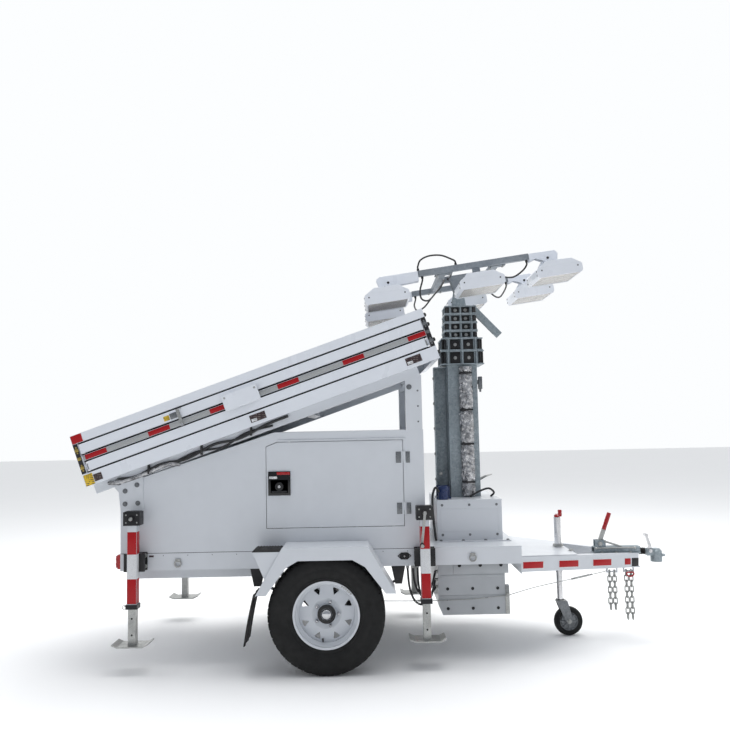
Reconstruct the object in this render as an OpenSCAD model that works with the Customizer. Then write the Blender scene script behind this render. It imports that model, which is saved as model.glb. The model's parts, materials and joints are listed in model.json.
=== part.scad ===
// Towable solar light tower: a braked single-axle trailer with a battery cabinet, a tilted stack of
// solar panels (one fixed, two on drawers), a telescopic mast and a head of six floodlights.
// X runs forward to the hitch, Y across (the kerb side is -Y), Z up from the ground.
// The origin is on the ground, midway between the stack's rear edge and the coupler's nose.

/* [Overall] */
// Length from the rear edge of the panel stack to the coupler's nose
overall_l = 4016; // [3800:1:4900]
// Width over the fenders
overall_w = 1740; // [1500:1:2100]
// Top face of the chassis rails above the ground
deck_z = 713; // [640:1:800]

/* [Chassis] */
// Depth of a chassis rail
rail_h = 107; // [80:1:120]
// Width of a chassis rail
rail_w = 60; // [50:1:80]
// Wall of the chassis rails
rail_t = 4; // [3:0.5:6]
// Length of the deck ahead of the cabinet
deck_l = 603; // [560:1:750]
// Depth of the tongue beams
beam_h = 96; // [70:1:110]
// Width of the tongue beams
beam_w = 50; // [40:1:60]
// Drop of the tongue from the deck to the coupler
tongue_drop = 68; // [40:1:80]

/* [Wheels] */
// Outer diameter of the tyre
tyre_d = 718; // [600:1:760]
// Width of the tyre
tyre_w = 225; // [185:1:235]
// Diameter of the wheel rim at its bead
rim_d = 381; // [330:1:406]
// Distance of the axle from the cabinet's rear wall
axle_from_rear = 1323; // [1150:1:1500]
// Radius of the stub axle
spindle_r = 22.5; // [18:0.5:30]
// Radial clearance of running fits
fit = 0.05; // [0.02:0.01:0.1]

/* [Cabinet] */
// Length of the cabinet
cab_l = 1954; // [1800:1:2300]
// Height of the cabinet above the rails
cab_h = 755; // [640:1:900]
// Sheet thickness of the cabinet and the boxes
sheet = 3; // [2:0.5:4]
// Width of a door
door_w = 880; // [700:1:1000]
// Height of a door
door_h = 545; // [450:1:560]
// Gap round a door
door_gap = 3; // [2:0.5:6]

/* [Panel stack] */
// Length of the panel stack along its slope
stack_l = 2418; // [2200:1:2600]
// Width of the panel stack
stack_w = 1250; // [1000:1:1500]
// Slope of the panel stack
stack_tilt = 19; // [15:0.5:20]
// Depth of the base frame of the stack
base_t = 84; // [60:1:100]
// Depth of the lower drawer
far_drawer_t = 60; // [50:1:70]
// Depth of the middle rail
mid_t = 36; // [30:1:50]
// Depth of the upper drawer
near_drawer_t = 62; // [50:1:70]
// Depth of the top frame
top_t = 57; // [45:1:70]
// Gap between the layers of the stack
layer_gap = 11; // [8:0.5:14]

/* [Mast] */
// Width of the outer mast tube
mast_w = 210; // [170:1:230]
// Step in width from one mast stage to the next
stage_step = 26; // [22:1:28]
// Wall of the mast tubes
mast_t = 4; // [3:0.5:5]
// Height of the outer tube's collar above the ground
collar_z = 1920; // [1800:1:2100]
// Slope of the light head at rest
head_tilt = 7.8; // [0:0.1:12]

/* [Lamps] */
// Length of a lamp along the bars
lamp_l = 300; // [250:1:360]
// Width of a lamp across the bars
lamp_w = 360; // [300:1:400]
// Depth of a lamp
lamp_t = 70; // [55:1:80]
// Distance from the centreline to a lamp bar
bar_y = 400; // [360:1:440]

/* [Jacks] */
// Width of a jack's outer tube
jack_w = 60; // [55:1:75]
// Height of the feet above the ground
foot_z = 170; // [100:1:220]
// Length of a foot
foot_l = 227; // [180:1:260]

/* [Hidden] */
$fn = 48;
WHITE = "#e8ebee";
GALV = "#9aa3a8";
BLACK = "#1c1c1e";
GREY = "#a9aeb2";
RED = "#b3202a";

// Places along X
rear_x = -overall_l / 2;
nose_x = overall_l / 2;
stack_t = base_t + far_drawer_t + mid_t + near_drawer_t + top_t + 4 * layer_gap;
stack_x = rear_x + stack_t * sin(stack_tilt);
cab_x0 = rear_x + 324;
cab_x1 = cab_x0 + cab_l;
axle_x = cab_x0 + axle_from_rear;
// the mast always stands clear of the stack's upper end, and the deck reaches past the mast
stack_end = stack_x + stack_l * cos(stack_tilt);
mast_x = max(cab_x1 + 323, stack_end + mast_w / 2 + 98);
deck_x1 = max(cab_x1 + deck_l, mast_x + 280);

// Places across Y
wheel_y = overall_w / 2 - 20 - tyre_w / 2;
body_y = overall_w / 2 - 270;
cab_y = body_y - 3;
jack_y = body_y + 60 + jack_w / 2;

// Places up Z
rail_z = deck_z - rail_h;
cab_top = deck_z + cab_h;
slant_x = cab_x0 + 991;
slant_z = cab_top - 318;
stack_z = cab_top - 326;

// Layers of the stack, measured up from its underside
far_w0 = base_t + layer_gap;
mid_w0 = far_w0 + far_drawer_t + layer_gap;
near_w0 = mid_w0 + mid_t + layer_gap;
top_w0 = near_w0 + near_drawer_t + layer_gap;
post_l = 32;
slide_w = 10;
slide_gap = 1;
panel_t = 4;
channel_t = 3;
subframe_h = 60;
stack_half = stack_w / 2;

// Doors
door_x1 = cab_x1 - 136;
door_x0 = door_x1 - door_w;
door_z0 = deck_z + 145;
door_t = 22;
hinge_y = cab_y + 9;

// Mast
mast_z0 = deck_z + 5;
stage_gap = 0.5;
collar_h = [100, 90, 54, 60, 60, 60];
collar_w = [304, 293, 236, 236, 230, 226];
function stage_w(k) = mast_w - k * stage_step;
function collar_at(k) = k == 0 ? collar_z : collar_at(k - 1) + collar_h[k - 1] + stage_gap;
mast_top = collar_at(5) + collar_h[5];
pivot_z = mast_top + 110;
pivot_r = 15;
base_box = [mast_x - 226, mast_x + 211, 330, 277];

// Light head, measured from its pivot
bar_w0 = 110;
bar_u = [-303, 455];
bar_s = 40;
lamp_u = [-545, 91, 608];
lamp_drop = 70;
lamp_pin_r = 8;

// Jacks
jack_xs = [cab_x0 + 110, cab_x1 - 14];
jack_top = deck_z + 193;
jack_bottom = deck_z - 306;
leg_w = jack_w - 2 * 4 - 4;
crank_z = jack_top + 42;
crank_r = 10;

// Jockey wheel
jockey_x = deck_x1 + 377;
jockey_r = 21;
jockey_top = deck_z + 111;
jockey_wheel_r = 100;
jockey_trail = 51;
fork_z = 250;

// Tongue
tongue_root = [deck_x1, body_y - 90, rail_z + 30];
tip_x = nose_x - 218;
tip_y = 40;
tongue_run = tip_x - deck_x1;
tongue_yaw = atan((tongue_root[1] - tip_y) / tongue_run);
beam_len = sqrt(pow(tongue_run, 2) + pow(tongue_root[1] - tip_y, 2));
tongue_pitch = asin(tongue_drop / beam_len);
tongue_slope = atan(tongue_drop / tongue_run);
tip_z = tongue_root[2] - tongue_drop;
coupler_x = [nose_x - 510, nose_x - 186];
coupler_half = 48;
ball_x = nose_x - 63;
ball_r = 25.4;
lever_x = nose_x - 465;
lever_z = tip_z + 66;

// Chains: wire diameter, outer length of a link, and the width between the strands
wire_d = 9;
eye_r = 5;
eye_drop = 26;
link_l = 56;
link_w = 34;

// Routes of the held cables, points chosen by hand
hose_routes = [
    [[150, -562, 605.4], [150, -562, 570], [160, -566, 460], [192, -571, 380], [240, -573, 358],
        [290, -558, 392], [318, -520, 460], [330, -492, 490], [338, -488, 494], [347.4, -488, 494]],
    [[185, -564, 605.4], [185, -564, 572], [192, -568, 500], [215, -573, 440], [255, -571, 424],
        [296, -548, 458], [322, -512, 520], [331, -482, 542], [338, -476, 544], [347.4, -476, 544]],
    [[215, -545, 605.4], [215, -545, 575], [218, -550, 480], [232, -556, 412], [262, -552, 392],
        [296, -528, 412], [322, -496, 436], [331, -472, 445], [338, -468, 446], [347.4, -468, 446]]];
brake_route = [[-325.4, -470, 372], [-280, -472, 371], [0, -492, 366], [330, -512, 366], [560, -514, 372],
    [780, -512, 390], [830, -500, 398], [1000, -430, 425], [1250, -330, 450], [1480, -212, 468],
    [1535, -170, 472], [1545, -163, 489.2]];
head_routes = [
    [[-300, -400, 130.6], [-300, -400, 150], [-296, -400, 166], [-272, -402, 203], [-210, -404, 222],
        [-130, -404, 213], [-62, -402, 176], [-42, -400, 160], [-40, -400, 148], [-40, -400, 130.6]],
    [[-280, -400, 89.4], [-280, -400, 72], [-284, -398, 56], [-306, -370, 0], [-300, -320, -50],
        [-250, -270, -60], [-180, -190, 0], [-108, -95, 76], [-97, -70, 102], [-95, -50, 110],
        [-95, -30.6, 110]],
    [[-280, 400, 89.4], [-280, 400, 72], [-284, 396, 58], [-302, 360, 10], [-290, 310, -35],
        [-240, 240, -30], [-170, 160, 30], [-108, 95, 78], [-97, 70, 102], [-95, 50, 110], [-95, 30.6, 110]],
    [[440, -400, 89.4], [440, -400, 72], [437, -398, 56], [415, -385, 30], [370, -350, 5],
        [335, -300, 5], [275, -210, 42], [192, -105, 94], [179, -68, 108], [175, -50, 110],
        [175, -30.6, 110]],
    [[440, 400, 89.4], [440, 400, 72], [437, 398, 56], [412, 370, 20], [360, 310, -30],
        [310, 250, -30], [250, 180, 20], [196, 102, 86], [178, 68, 107], [175, 50, 110], [175, 30.6, 110]],
    [[-60, -379.4, 110], [-60, -362, 110], [-62, -345, 107], [-65, -300, 98], [-66, -220, 90],
        [-64, -120, 98], [-61, -68, 108], [-60, -50, 110], [-60, -30.6, 110]]];

// ---------- helpers ----------

// A prism whose outline is drawn in X and Z
module xz_prism(points, y0, y1) {
    translate([0, y1, 0]) rotate([90, 0, 0]) linear_extrude(y1 - y0) polygon(points);
}

// The same prism on both sides of the centreline
module both_xz(points, y0, y1) {
    xz_prism(points, y0, y1);
    xz_prism(points, -y1, -y0);
}

module block(x, y, z) {
    translate([x[0], y[0], z[0]]) cube([x[1] - x[0], y[1] - y[0], z[1] - z[0]]);
}

module both_blocks(x, y, z) {
    block(x, y, z);
    block(x, [-y[1], -y[0]], z);
}

module tube_x(x, y, z, t) {
    difference() {
        block(x, y, z);
        block([x[0] - 1, x[1] + 1], [y[0] + t, y[1] - t], [z[0] + t, z[1] - t]);
    }
}

module tube_y(x, y, z, t) {
    difference() {
        block(x, y, z);
        block([x[0] + t, x[1] - t], [y[0] - 1, y[1] + 1], [z[0] + t, z[1] - t]);
    }
}

module square_tube(w, t, z0, z1) {
    difference() {
        translate([-w / 2, -w / 2, z0]) cube([w, w, z1 - z0]);
        translate([-w / 2 + t, -w / 2 + t, z0 - 1]) cube([w - 2 * t, w - 2 * t, z1 - z0 + 2]);
    }
}

// A rod along Y
module rod_y(x, z, r, y0, y1) {
    translate([x, y1, z]) rotate([90, 0, 0]) cylinder(r = r, h = y1 - y0);
}

// A rod along X
module rod_x(x0, x1, y, z, r) {
    translate([x0, y, z]) rotate([0, 90, 0]) cylinder(r = r, h = x1 - x0);
}

// Places children in the stack's own axes: along the slope, across, and up through its layers
module on_stack() {
    translate([stack_x, 0, stack_z]) rotate([0, -stack_tilt, 0]) children();
}

// Places children in the light head's own axes, measured from its pivot
module on_head() {
    translate([mast_x, 0, pivot_z]) rotate([0, -head_tilt, 0]) children();
}

function under_stack(x) = stack_z + (x - stack_x) * tan(stack_tilt);

// Catmull-Rom points between hand-picked ones
function pick(p, i) = p[max(0, min(len(p) - 1, i))];
function spline_at(a, b, c, d, t) = 0.5 * (2 * b + (c - a) * t + (2 * a - 5 * b + 4 * c - d) * t * t
    + (3 * b - 3 * c + d - a) * t * t * t);
function spline(p, n) = concat([for (i = [0 : len(p) - 2], j = [0 : n - 1])
    spline_at(pick(p, i - 1), p[i], p[i + 1], pick(p, i + 2), j / n)], [p[len(p) - 1]]);
function unit(v) = v / norm(v);

// A round cable swept along a route
module cable(route, d, n = 2, sides = 8) {
    path = spline(route, n);
    last = len(path) - 1;
    rings = [for (i = [0 : last])
        let (t = unit(path[min(i + 1, last)] - path[max(i - 1, 0)]),
            a = unit(cross(t, [0.31, 0.9, 0.17])), b = cross(t, a))
        for (k = [0 : sides - 1]) path[i] + d / 2 * (a * cos(360 * k / sides) + b * sin(360 * k / sides))];
    walls = [for (i = [0 : last - 1], k = [0 : sides - 1])
        let (p = i * sides + k, q = i * sides + (k + 1) % sides) [p, p + sides, q + sides, q]];
    ends = [[for (k = [0 : sides - 1]) k], [for (k = [sides - 1 : -1 : 0]) last * sides + k]];
    polyhedron(points = rings, faces = concat(walls, ends), convexity = 4);
}

// ---------- chassis ----------

cross_xs = [cab_x0 + 30, cab_x0 + 560, axle_x - 300, axle_x + 300, cab_x1 - 30, deck_x1 - 60];

module chassis_frame() {
    color(WHITE) {
        for (s = [0, 1]) mirror([0, s, 0])
            tube_x([cab_x0, deck_x1], [body_y - rail_w, body_y], [rail_z, deck_z], rail_t);
        for (x = cross_xs)
            tube_y([x, x + 60], [-body_y + rail_w - 1, body_y - rail_w + 1], [rail_z, rail_z + 80], 3);
        for (s = [0, 1]) mirror([0, s, 0])
            tube_x([cab_x0 + 30, axle_x - 300], [body_y - 170, body_y - 110], [rail_z - 68, rail_z + 1], 3);
        // front plate that closes the rails' ends
        block([deck_x1, deck_x1 + 4], [-body_y, body_y], [rail_z, deck_z]);
    }
}

module deck_plates() {
    color(WHITE) {
        difference() {
            block([cab_x1 + 2, deck_x1 + 4], [-body_y, body_y], [deck_z, deck_z + 4]);
            block([mast_x - 90, mast_x + 90], [-90, 90], [deck_z - 1, deck_z + 6]);
        }
        // tread plate over the root of the tongue
        difference() {
            translate([deck_x1 + 4, 0, tongue_root[2] + 1]) rotate([0, tongue_slope, 0]) linear_extrude(4)
                polygon([[6.5, -tongue_root[1] - 16], [430, -tongue_root[1] + 200],
                    [430, tongue_root[1] - 200], [6.5, tongue_root[1] + 16]]);
            translate([jockey_x, 0, rail_z - 100]) cylinder(r = 24 + fit, h = 200);
        }
    }
}

module tongue_beam() {
    translate(tongue_root) rotate([0, tongue_pitch, -tongue_yaw])
        tube_x([0, beam_len], [-beam_w / 2, beam_w / 2], [-beam_h, 0], 4);
}

module tongue_frame() {
    color(WHITE) {
        difference() {
            union() {
                for (s = [0, 1]) mirror([0, s, 0]) tongue_beam();
                // root plate against the front of the chassis
                block([deck_x1 + 4, deck_x1 + 10], [-body_y + 40, body_y - 40], [rail_z - 72, rail_z + 62]);
                // cross tie that carries the jockey wheel's clamp
                block([jockey_x - 34, jockey_x + 34], [-245, 245], [rail_z - 78, rail_z - 60]);
                for (x = chain_xs) chain_eye(x);
                // nose plate under the coupler
                block([tip_x - 150, tip_x + 10], [-tip_y - 38, tip_y + 38], [tip_z - beam_h + 2,
                    tip_z - beam_h + 10]);
            }
            block([deck_x1 - 40, deck_x1 + 4], [-body_y, body_y], [rail_z - 200, deck_z]);
            translate([jockey_x, 0, rail_z - 100]) cylinder(r = 24 + fit, h = 120);
            // seat for the coupler
            block(coupler_x, [-coupler_half, coupler_half], [tip_z - 2, tip_z + 60]);
        }
    }
}

// ---------- running gear ----------

spring_y = [body_y - 55, body_y - 5];
spring_half = 450;
function leaf_z(x, rise) = tyre_d / 2 + 36 + rise * pow(x / spring_half, 2);
module leaf(half, z0, t, rise) {
    n = 12;
    xs = [for (i = [0 : n]) -half + 2 * half * i / n];
    both_xz(concat([for (x = xs) [axle_x + x, z0 + leaf_z(x, rise)]],
        [for (i = [n : -1 : 0]) [axle_x + xs[i], z0 + leaf_z(xs[i], rise) + t]]), spring_y[0], spring_y[1]);
}

// An eye under a tongue beam: a rod between two lugs
module chain_eye(x) {
    top = beam_under(x);
    translate([x, -beam_y(x), top]) {
        translate([-38, 0, -eye_drop]) rotate([0, 90, 0]) cylinder(r = eye_r, h = 76);
        for (d = [-38, 30]) translate([d, -8, -eye_drop - 8]) cube([8, 16, eye_drop + 22]);
    }
}

module axle_set() {
    color("#2a2b2d") {
        tube_y([axle_x - 35, axle_x + 35], [-body_y - 12, body_y + 12], [tyre_d / 2 - 35,
            tyre_d / 2 + 35], 6);
        for (s = [0, 1]) mirror([0, s, 0]) {
            rod_y(axle_x, tyre_d / 2, spindle_r, body_y - 8, wheel_y + 52);
            // brake drum backing plate
            rod_y(axle_x, tyre_d / 2, 118, body_y + 12, body_y + 20);
        }
        leaf(spring_half, 0, 8, 120);
        leaf(330, 8, 8, 120);
        leaf(220, 16, 8, 120);
        // clamp pads on the springs
        both_blocks([axle_x - 45, axle_x + 45], [spring_y[0] - 4, spring_y[1] + 4],
            [tyre_d / 2 + 34, tyre_d / 2 + 70]);
        // spring hangers under the rails
        for (s = [-1, 1]) both_xz([[axle_x + s * spring_half - 45, rail_z],
            [axle_x + s * spring_half + 45, rail_z],
            [axle_x + s * spring_half + 22, leaf_z(spring_half, 120) - 22],
            [axle_x + s * spring_half - 22, leaf_z(spring_half, 120) - 22]], spring_y[0] + 4,
                spring_y[1] - 4);
    }
}

fender_top = tyre_d + 52;
fender_low = fender_top - 280;
function fender_line(d) = [[-423 + d * 1.16, fender_low], [-260 + d * 0.58, fender_top - d],
    [261 - d * 0.58, fender_top - d], [424 - d * 1.16, fender_low]];
fender_eye = [[363, fender_low], [240, fender_low + 160], [165, fender_top - 78],
    [-165, fender_top - 78], [-240, fender_low + 160], [-359, fender_low]];

module at_axle() {
    translate([axle_x, 0, 0]) children();
}

module fenders() {
    color(WHITE) at_axle() for (s = [0, 1]) mirror([0, s, 0]) {
        xz_prism(concat(fender_line(0), [for (i = [3 : -1 : 0]) fender_line(sheet)[i]]), body_y,
            overall_w / 2);
        for (y = [body_y, overall_w / 2 - sheet])
            xz_prism(concat(fender_line(0), fender_eye), y, y + sheet);
        // step on the rear slope: a tread and its two side plates
        block([-448, -270], [body_y + 30, overall_w / 2 - 12], [fender_top - 28, fender_top - 24]);
        for (y = [body_y + 30, overall_w / 2 - 15])
            xz_prism([[-440, fender_top - 25], [-272, fender_top - 25], [-368, fender_top - 190]], y,
                y + sheet);
    }
}

module mudflaps() {
    color(BLACK) at_axle() both_xz([[-436, fender_low - 20], [-428, fender_low - 20], [-424, fender_low + 1],
        [-420, fender_low - 24], [-488, 191], [-497, 191]], body_y + 20, overall_w / 2 - 10);
}

tyre_r = tyre_d / 2;
bead_r = rim_d / 2 + 5;
module tyre() {
    shoulder = 26;
    side = [for (i = [0 : 6]) let (a = 15 * i)
        [tyre_r - shoulder + shoulder * sin(a), tyre_w / 2 - 6 - shoulder + shoulder * cos(a)]];
    half = concat([[bead_r, tyre_w / 2 - 29], [bead_r + 9.5, tyre_w / 2 - 27], [bead_r + 14, tyre_w / 2 - 16],
        [bead_r + 55, tyre_w / 2],
        [tyre_r - 60, tyre_w / 2 - 1]], side);
    inner = [[tyre_r - 34, 60], [bead_r + 60, tyre_w / 2 - 22], [bead_r, tyre_w / 2 - 46]];
    n = len(half);
    rotate_extrude($fn = 96) polygon(concat(half, [for (i = [n - 1 : -1 : 0]) [half[i][0], -half[i][1]]],
        [for (i = [2 : -1 : 0]) [inner[i][0], -inner[i][1]]], inner));
}

module rim() {
    r = bead_r - 0.3;
    difference() {
        union() {
            rotate_extrude($fn = 96) polygon([[r + 9, 93], [r + 9, 86.5], [r, 84.5], [r, -84.5],
                [r + 9, -86.5], [r + 9, -93], [r - 4, -92], [r - 4, -60], [r - 22, -40], [r - 22, 40],
                [r - 4, 60], [r - 4, 92]]);
            rotate_extrude($fn = 96) polygon([[spindle_r + fit, -40], [58, -40], [58, 18], [92, 30],
                [r - 20, 12], [r - 20, 20], [92, 38], [58, 27], [58, 44], [36, 58], [36, 62],
                [spindle_r + fit, 62]]);
            for (i = [0 : 4]) rotate([0, 0, 72 * i]) translate([74, 0, 22]) cylinder(r = 10, h = 22, $fn = 6);
        }
        for (i = [0 : 7]) rotate([0, 0, 45 * i + 22.5]) translate([0, 0, -30]) linear_extrude(90)
            polygon([[118, 0], [r - 42, 21], [r - 36, 15], [r - 36, -15], [r - 42, -21]]);
    }
}

module near_wheel() {
    translate([axle_x, -wheel_y, tyre_r]) rotate([90, 0, 0]) children();
}

module far_wheel() {
    translate([axle_x, wheel_y, tyre_r]) rotate([-90, 0, 0]) children();
}

module tyre_near() { color(BLACK) near_wheel() tyre(); }
module tyre_far() { color(BLACK) far_wheel() tyre(); }
module rim_near() { color(WHITE) near_wheel() rim(); }
module rim_far() { color(WHITE) far_wheel() rim(); }

// ---------- cabinet ----------

function cab_outline(d) = [[cab_x0 + d, deck_z + d], [cab_x1 - d, deck_z + d], [cab_x1 - d, cab_top - d],
    [slant_x + d * 0.2, cab_top - d], [cab_x0 + d, slant_z - d * 1.05]];
door_cut = 72;
function door_outline(d) = [[door_x0 - d, door_z0 - d], [door_x1 + d, door_z0 - d],
    [door_x1 + d, door_z0 + door_h + d], [door_x0 + door_cut - d, door_z0 + door_h + d],
    [door_x0 - d, door_z0 + door_h - 28 + d]];

module cabinet_shell() {
    color(WHITE) {
        difference() {
            xz_prism(cab_outline(0), -cab_y, cab_y);
            xz_prism(cab_outline(sheet), -cab_y + sheet, cab_y - sheet);
            xz_prism(door_outline(door_gap), -cab_y - 1, cab_y + 1);
        }
        // rain gutters over the doors
        both_blocks([door_x0 + door_cut, door_x1 + 20], [cab_y - 1, cab_y + 8],
            [door_z0 + door_h + 12, door_z0 + door_h + 15]);
        // fixed halves of the hinges
        for (z = [door_z0 + 110, door_z0 + door_h - 110]) for (s = [0, 1]) mirror([0, s, 0]) {
            block([door_x1 + door_gap + 15, door_x1 + 46], [cab_y - 1, cab_y + 4], [z - 38, z + 38]);
            translate([door_x1 + door_gap + 6, hinge_y, z - 38]) difference() {
                cylinder(r = 7, h = 25);
                translate([0, 0, -1]) cylinder(r = 3.5 + fit, h = 27);
            }
            translate([door_x1 + door_gap + 6, cab_y, z - 38]) cube([10, 5, 25]);
        }
    }
}

module door() {
    x = door_x1 + door_gap + 6;
    difference() {
        union() {
            xz_prism(door_outline(0), -cab_y, -cab_y + door_t);
            for (z = [door_z0 + 110, door_z0 + door_h - 110]) {
                block([door_x1 - 46, door_x1 + 1], [-cab_y - 4, -cab_y + 1], [z - 38, z + 38]);
                block([door_x1 - 2, x], [-hinge_y - 3, -cab_y - 1], [z - 12, z + 38]);
                translate([x, -hinge_y, z - 12]) cylinder(r = 7, h = 50);
            }
        }
        xz_prism(door_outline(-sheet), -cab_y + sheet, -cab_y + door_t + 1);
        for (z = [door_z0 + 110, door_z0 + door_h - 110])
            translate([x, -hinge_y, z - 40]) cylinder(r = 3.5 + fit, h = 90);
    }
    // hinge pins, fixed in the door's knuckles
    for (z = [door_z0 + 110, door_z0 + door_h - 110])
        translate([x, -hinge_y, z - 36]) cylinder(r = 3.5, h = 74);
    for (z = [door_z0 + 110, door_z0 + door_h - 110])
        translate([x, -hinge_y, z]) cylinder(r = 5, h = 38);
    // latch case and handle
    block([door_x0 + 14, door_x0 + 154], [-cab_y - 8, -cab_y + 1], [door_z0 + 208, door_z0 + 358]);
    block([door_x0 + 40, door_x0 + 130], [-cab_y + 2, -cab_y + 16], [door_z0 + 230, door_z0 + 330]);
}

module door_near() { color(WHITE) door(); }
module door_far() { color(WHITE) mirror([0, 1, 0]) door(); }

battery = [230, 500, 120];
module power_pack() {
    color("#3b3f45") {
        for (i = [0 : 3], j = [0, 1])
            translate([cab_x1 - 250 - 240 * i, -battery[1] - 10 + 520 * j, deck_z + sheet + 1]) cube(battery);
        for (j = [0, 1]) translate([mast_x - 208, -430 + 440 * j, rail_z - 320]) cube([195, 420, 210]);
        // charge controllers and the inverter on the rear bulkhead
        for (y = [-420, -120, 180])
            block([slant_x - 268, slant_x - 108], [y, y + 220], [deck_z + sheet + 40, deck_z + 420]);
        block([slant_x - 270, slant_x - 266], [-cab_y + 40, cab_y - 40], [deck_z + sheet, deck_z + 560]);
    }
}

// ---------- panel stack ----------

module subframe_beam(v0, v1) {
    tube_x([40, stack_l - 160], [v0, v1], [-subframe_h, 0], 3);
}

post_x = [cab_x1 - 109, cab_x1 - 4];
module array_subframe() {
    slope_drop = subframe_h / cos(stack_tilt);
    color(GREY) {
        on_stack() {
            for (s = [0, 1]) mirror([0, s, 0]) subframe_beam(cab_y - 60, cab_y);
            for (u = [70, stack_l * 0.3, stack_l * 0.6, stack_l - 230])
                tube_y([u, u + 50], [-cab_y + 59, cab_y - 59], [-50, 0], 3);
        }
        // front posts: channels that are open towards the middle
        for (s = [0, 1]) mirror([0, s, 0]) difference() {
            xz_prism([[post_x[0], cab_top], [post_x[1], cab_top],
                [post_x[1], under_stack(post_x[1]) - slope_drop + 1],
                [post_x[0], under_stack(post_x[0]) - slope_drop + 1]], cab_y - 60, cab_y);
            xz_prism([[post_x[0] + 4, cab_top + 8], [post_x[1] - 4, cab_top + 8],
                [post_x[1] - 4, under_stack(post_x[1]) - slope_drop - 30],
                [post_x[0] + 4, under_stack(post_x[0]) - slope_drop - 30]], cab_y - 61, cab_y - 4);
        }
        // rear side plates that carry the stack's heel
        both_xz([[cab_x0 - 38, slant_z - 14], [cab_x0 - 12, slant_z - 45], [cab_x0 + 2, slant_z - 170],
            [cab_x0 + 145, slant_z - 170], [cab_x0 + 145, slant_z + 90], [cab_x0 - 10, slant_z + 38]],
            cab_y, cab_y + 6);
    }
}

// A shallow frame of channel section, open in the middle
module channel_frame(u, v, w, lip) {
    difference() {
        block(u, v, w);
        block([u[0] + channel_t, u[1] - channel_t], [v[0] + channel_t, v[1] - channel_t],
            [w[0] + channel_t, w[1] - channel_t]);
        block([u[0] + lip, u[1] - lip], [v[0] + lip, v[1] - lip], [w[0] - 1, w[1] + 1]);
    }
}

module array_cage() {
    color(WHITE) on_stack() {
        channel_frame([0, stack_l], [-stack_half, stack_half], [0, base_t], 50);
        for (u = [stack_l * 0.25, stack_l * 0.5, stack_l * 0.75])
            block([u, u + 4], [-stack_half + 2, stack_half - 2], [2, base_t - 2]);
        // corner posts
        for (u = [0, stack_l - post_l])
            both_blocks([u, u + post_l], [stack_half - 40, stack_half], [base_t - 1, top_w0]);
        // middle rails and the bars across the ends
        both_blocks([post_l - 1, stack_l - post_l + 1], [stack_half - 42, stack_half - 12],
            [mid_w0, mid_w0 + mid_t]);
        for (u = [0, stack_l - post_l])
            block([u, u + post_l], [-stack_half + 39, stack_half - 39], [mid_w0, mid_w0 + mid_t]);
        // fixed members of the drawer slides
        for (w = [far_w0 + 10, near_w0 + 10]) for (u = [post_l - 1, stack_l - post_l - slide_w])
            block([u, u + slide_w + 1], [-stack_half + 20, stack_half - 20], [w, w + 40]);
    }
}

module array_top_frame() {
    color(WHITE) on_stack() {
        channel_frame([0, stack_l], [-stack_half, stack_half], [top_w0, top_w0 + top_t], 45);
        block([2, stack_l - 2], [-stack_half + 2, stack_half - 2],
            [top_w0 + top_t - 9, top_w0 + top_t - 9 + panel_t]);
    }
}

slide_in = post_l + slide_w + slide_gap;
drawer_in = slide_in + slide_w + slide_gap;
// A drawer's tray with its panel; its front face is on the -Y side
module drawer(w0, t) {
    channel_frame([drawer_in, stack_l - drawer_in], [-stack_half + 10, stack_half - 3], [w0, w0 + t], 45);
    block([drawer_in + 2, stack_l - drawer_in - 2], [-stack_half + 12, stack_half - 5],
        [w0 + t - 9, w0 + t - 9 + panel_t]);
    for (u = [stack_l * 0.33, stack_l * 0.66])
        block([u, u + 3], [-stack_half + 12, stack_half - 5], [w0 + 2, w0 + t - 8]);
    // face plate in front of the corner posts' inner edges
    block([post_l + 4, stack_l - post_l - 4], [-stack_half, -stack_half + 11], [w0, w0 + t]);
}

handle_u = stack_l * 0.415;
module drawer_near() {
    color(WHITE) on_stack() {
        drawer(near_w0, near_drawer_t);
        // bent pull plate that hangs over the middle rail
        block([handle_u, handle_u + 240], [-stack_half - 24, -stack_half + 1], [near_w0 + 36, near_w0 + 39]);
        block([handle_u, handle_u + 240], [-stack_half - 24, -stack_half - 21], [mid_w0 - 16, near_w0 + 38]);
        // pivot boss and pin for the lock bar
        translate([lock_u, -stack_half + 1, lock_w]) rotate([90, 0, 0]) cylinder(r = 6, h = 18);
        block([lock_u - 62, lock_u - 12], [-stack_half - 5, -stack_half + 1], [near_w0 + 6, near_w0 + 48]);
    }
}

module drawer_far() { color(WHITE) on_stack() mirror([0, 1, 0]) drawer(far_w0, far_drawer_t); }

module slide_pair(w0) {
    for (u = [slide_in, stack_l - slide_in - slide_w])
        block([u, u + slide_w], [-stack_half + 24, stack_half - 24], [w0 + 13, w0 + 47]);
}

module slides_near() { color(GALV) on_stack() slide_pair(near_w0); }
module slides_far() { color(GALV) on_stack() slide_pair(far_w0); }

lock_u = stack_l * 0.294;
lock_w = near_w0 + 34;
module drawer_lock_bar() {
    color(GALV) on_stack() difference() {
        block([lock_u - 10, lock_u + 10], [-stack_half - 14, -stack_half - 8], [mid_w0 - 6, lock_w + 26]);
        translate([lock_u, -stack_half, lock_w]) rotate([90, 0, 0]) cylinder(r = 6 + fit, h = 20);
    }
}

// ---------- jacks ----------

module each_jack() {
    for (x = jack_xs) for (s = [-1, 1]) translate([x, s * jack_y, 0]) children();
}

module jack_tubes() {
    color(WHITE) each_jack() square_tube(jack_w, 4, jack_bottom, jack_top + 2);
}

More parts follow.
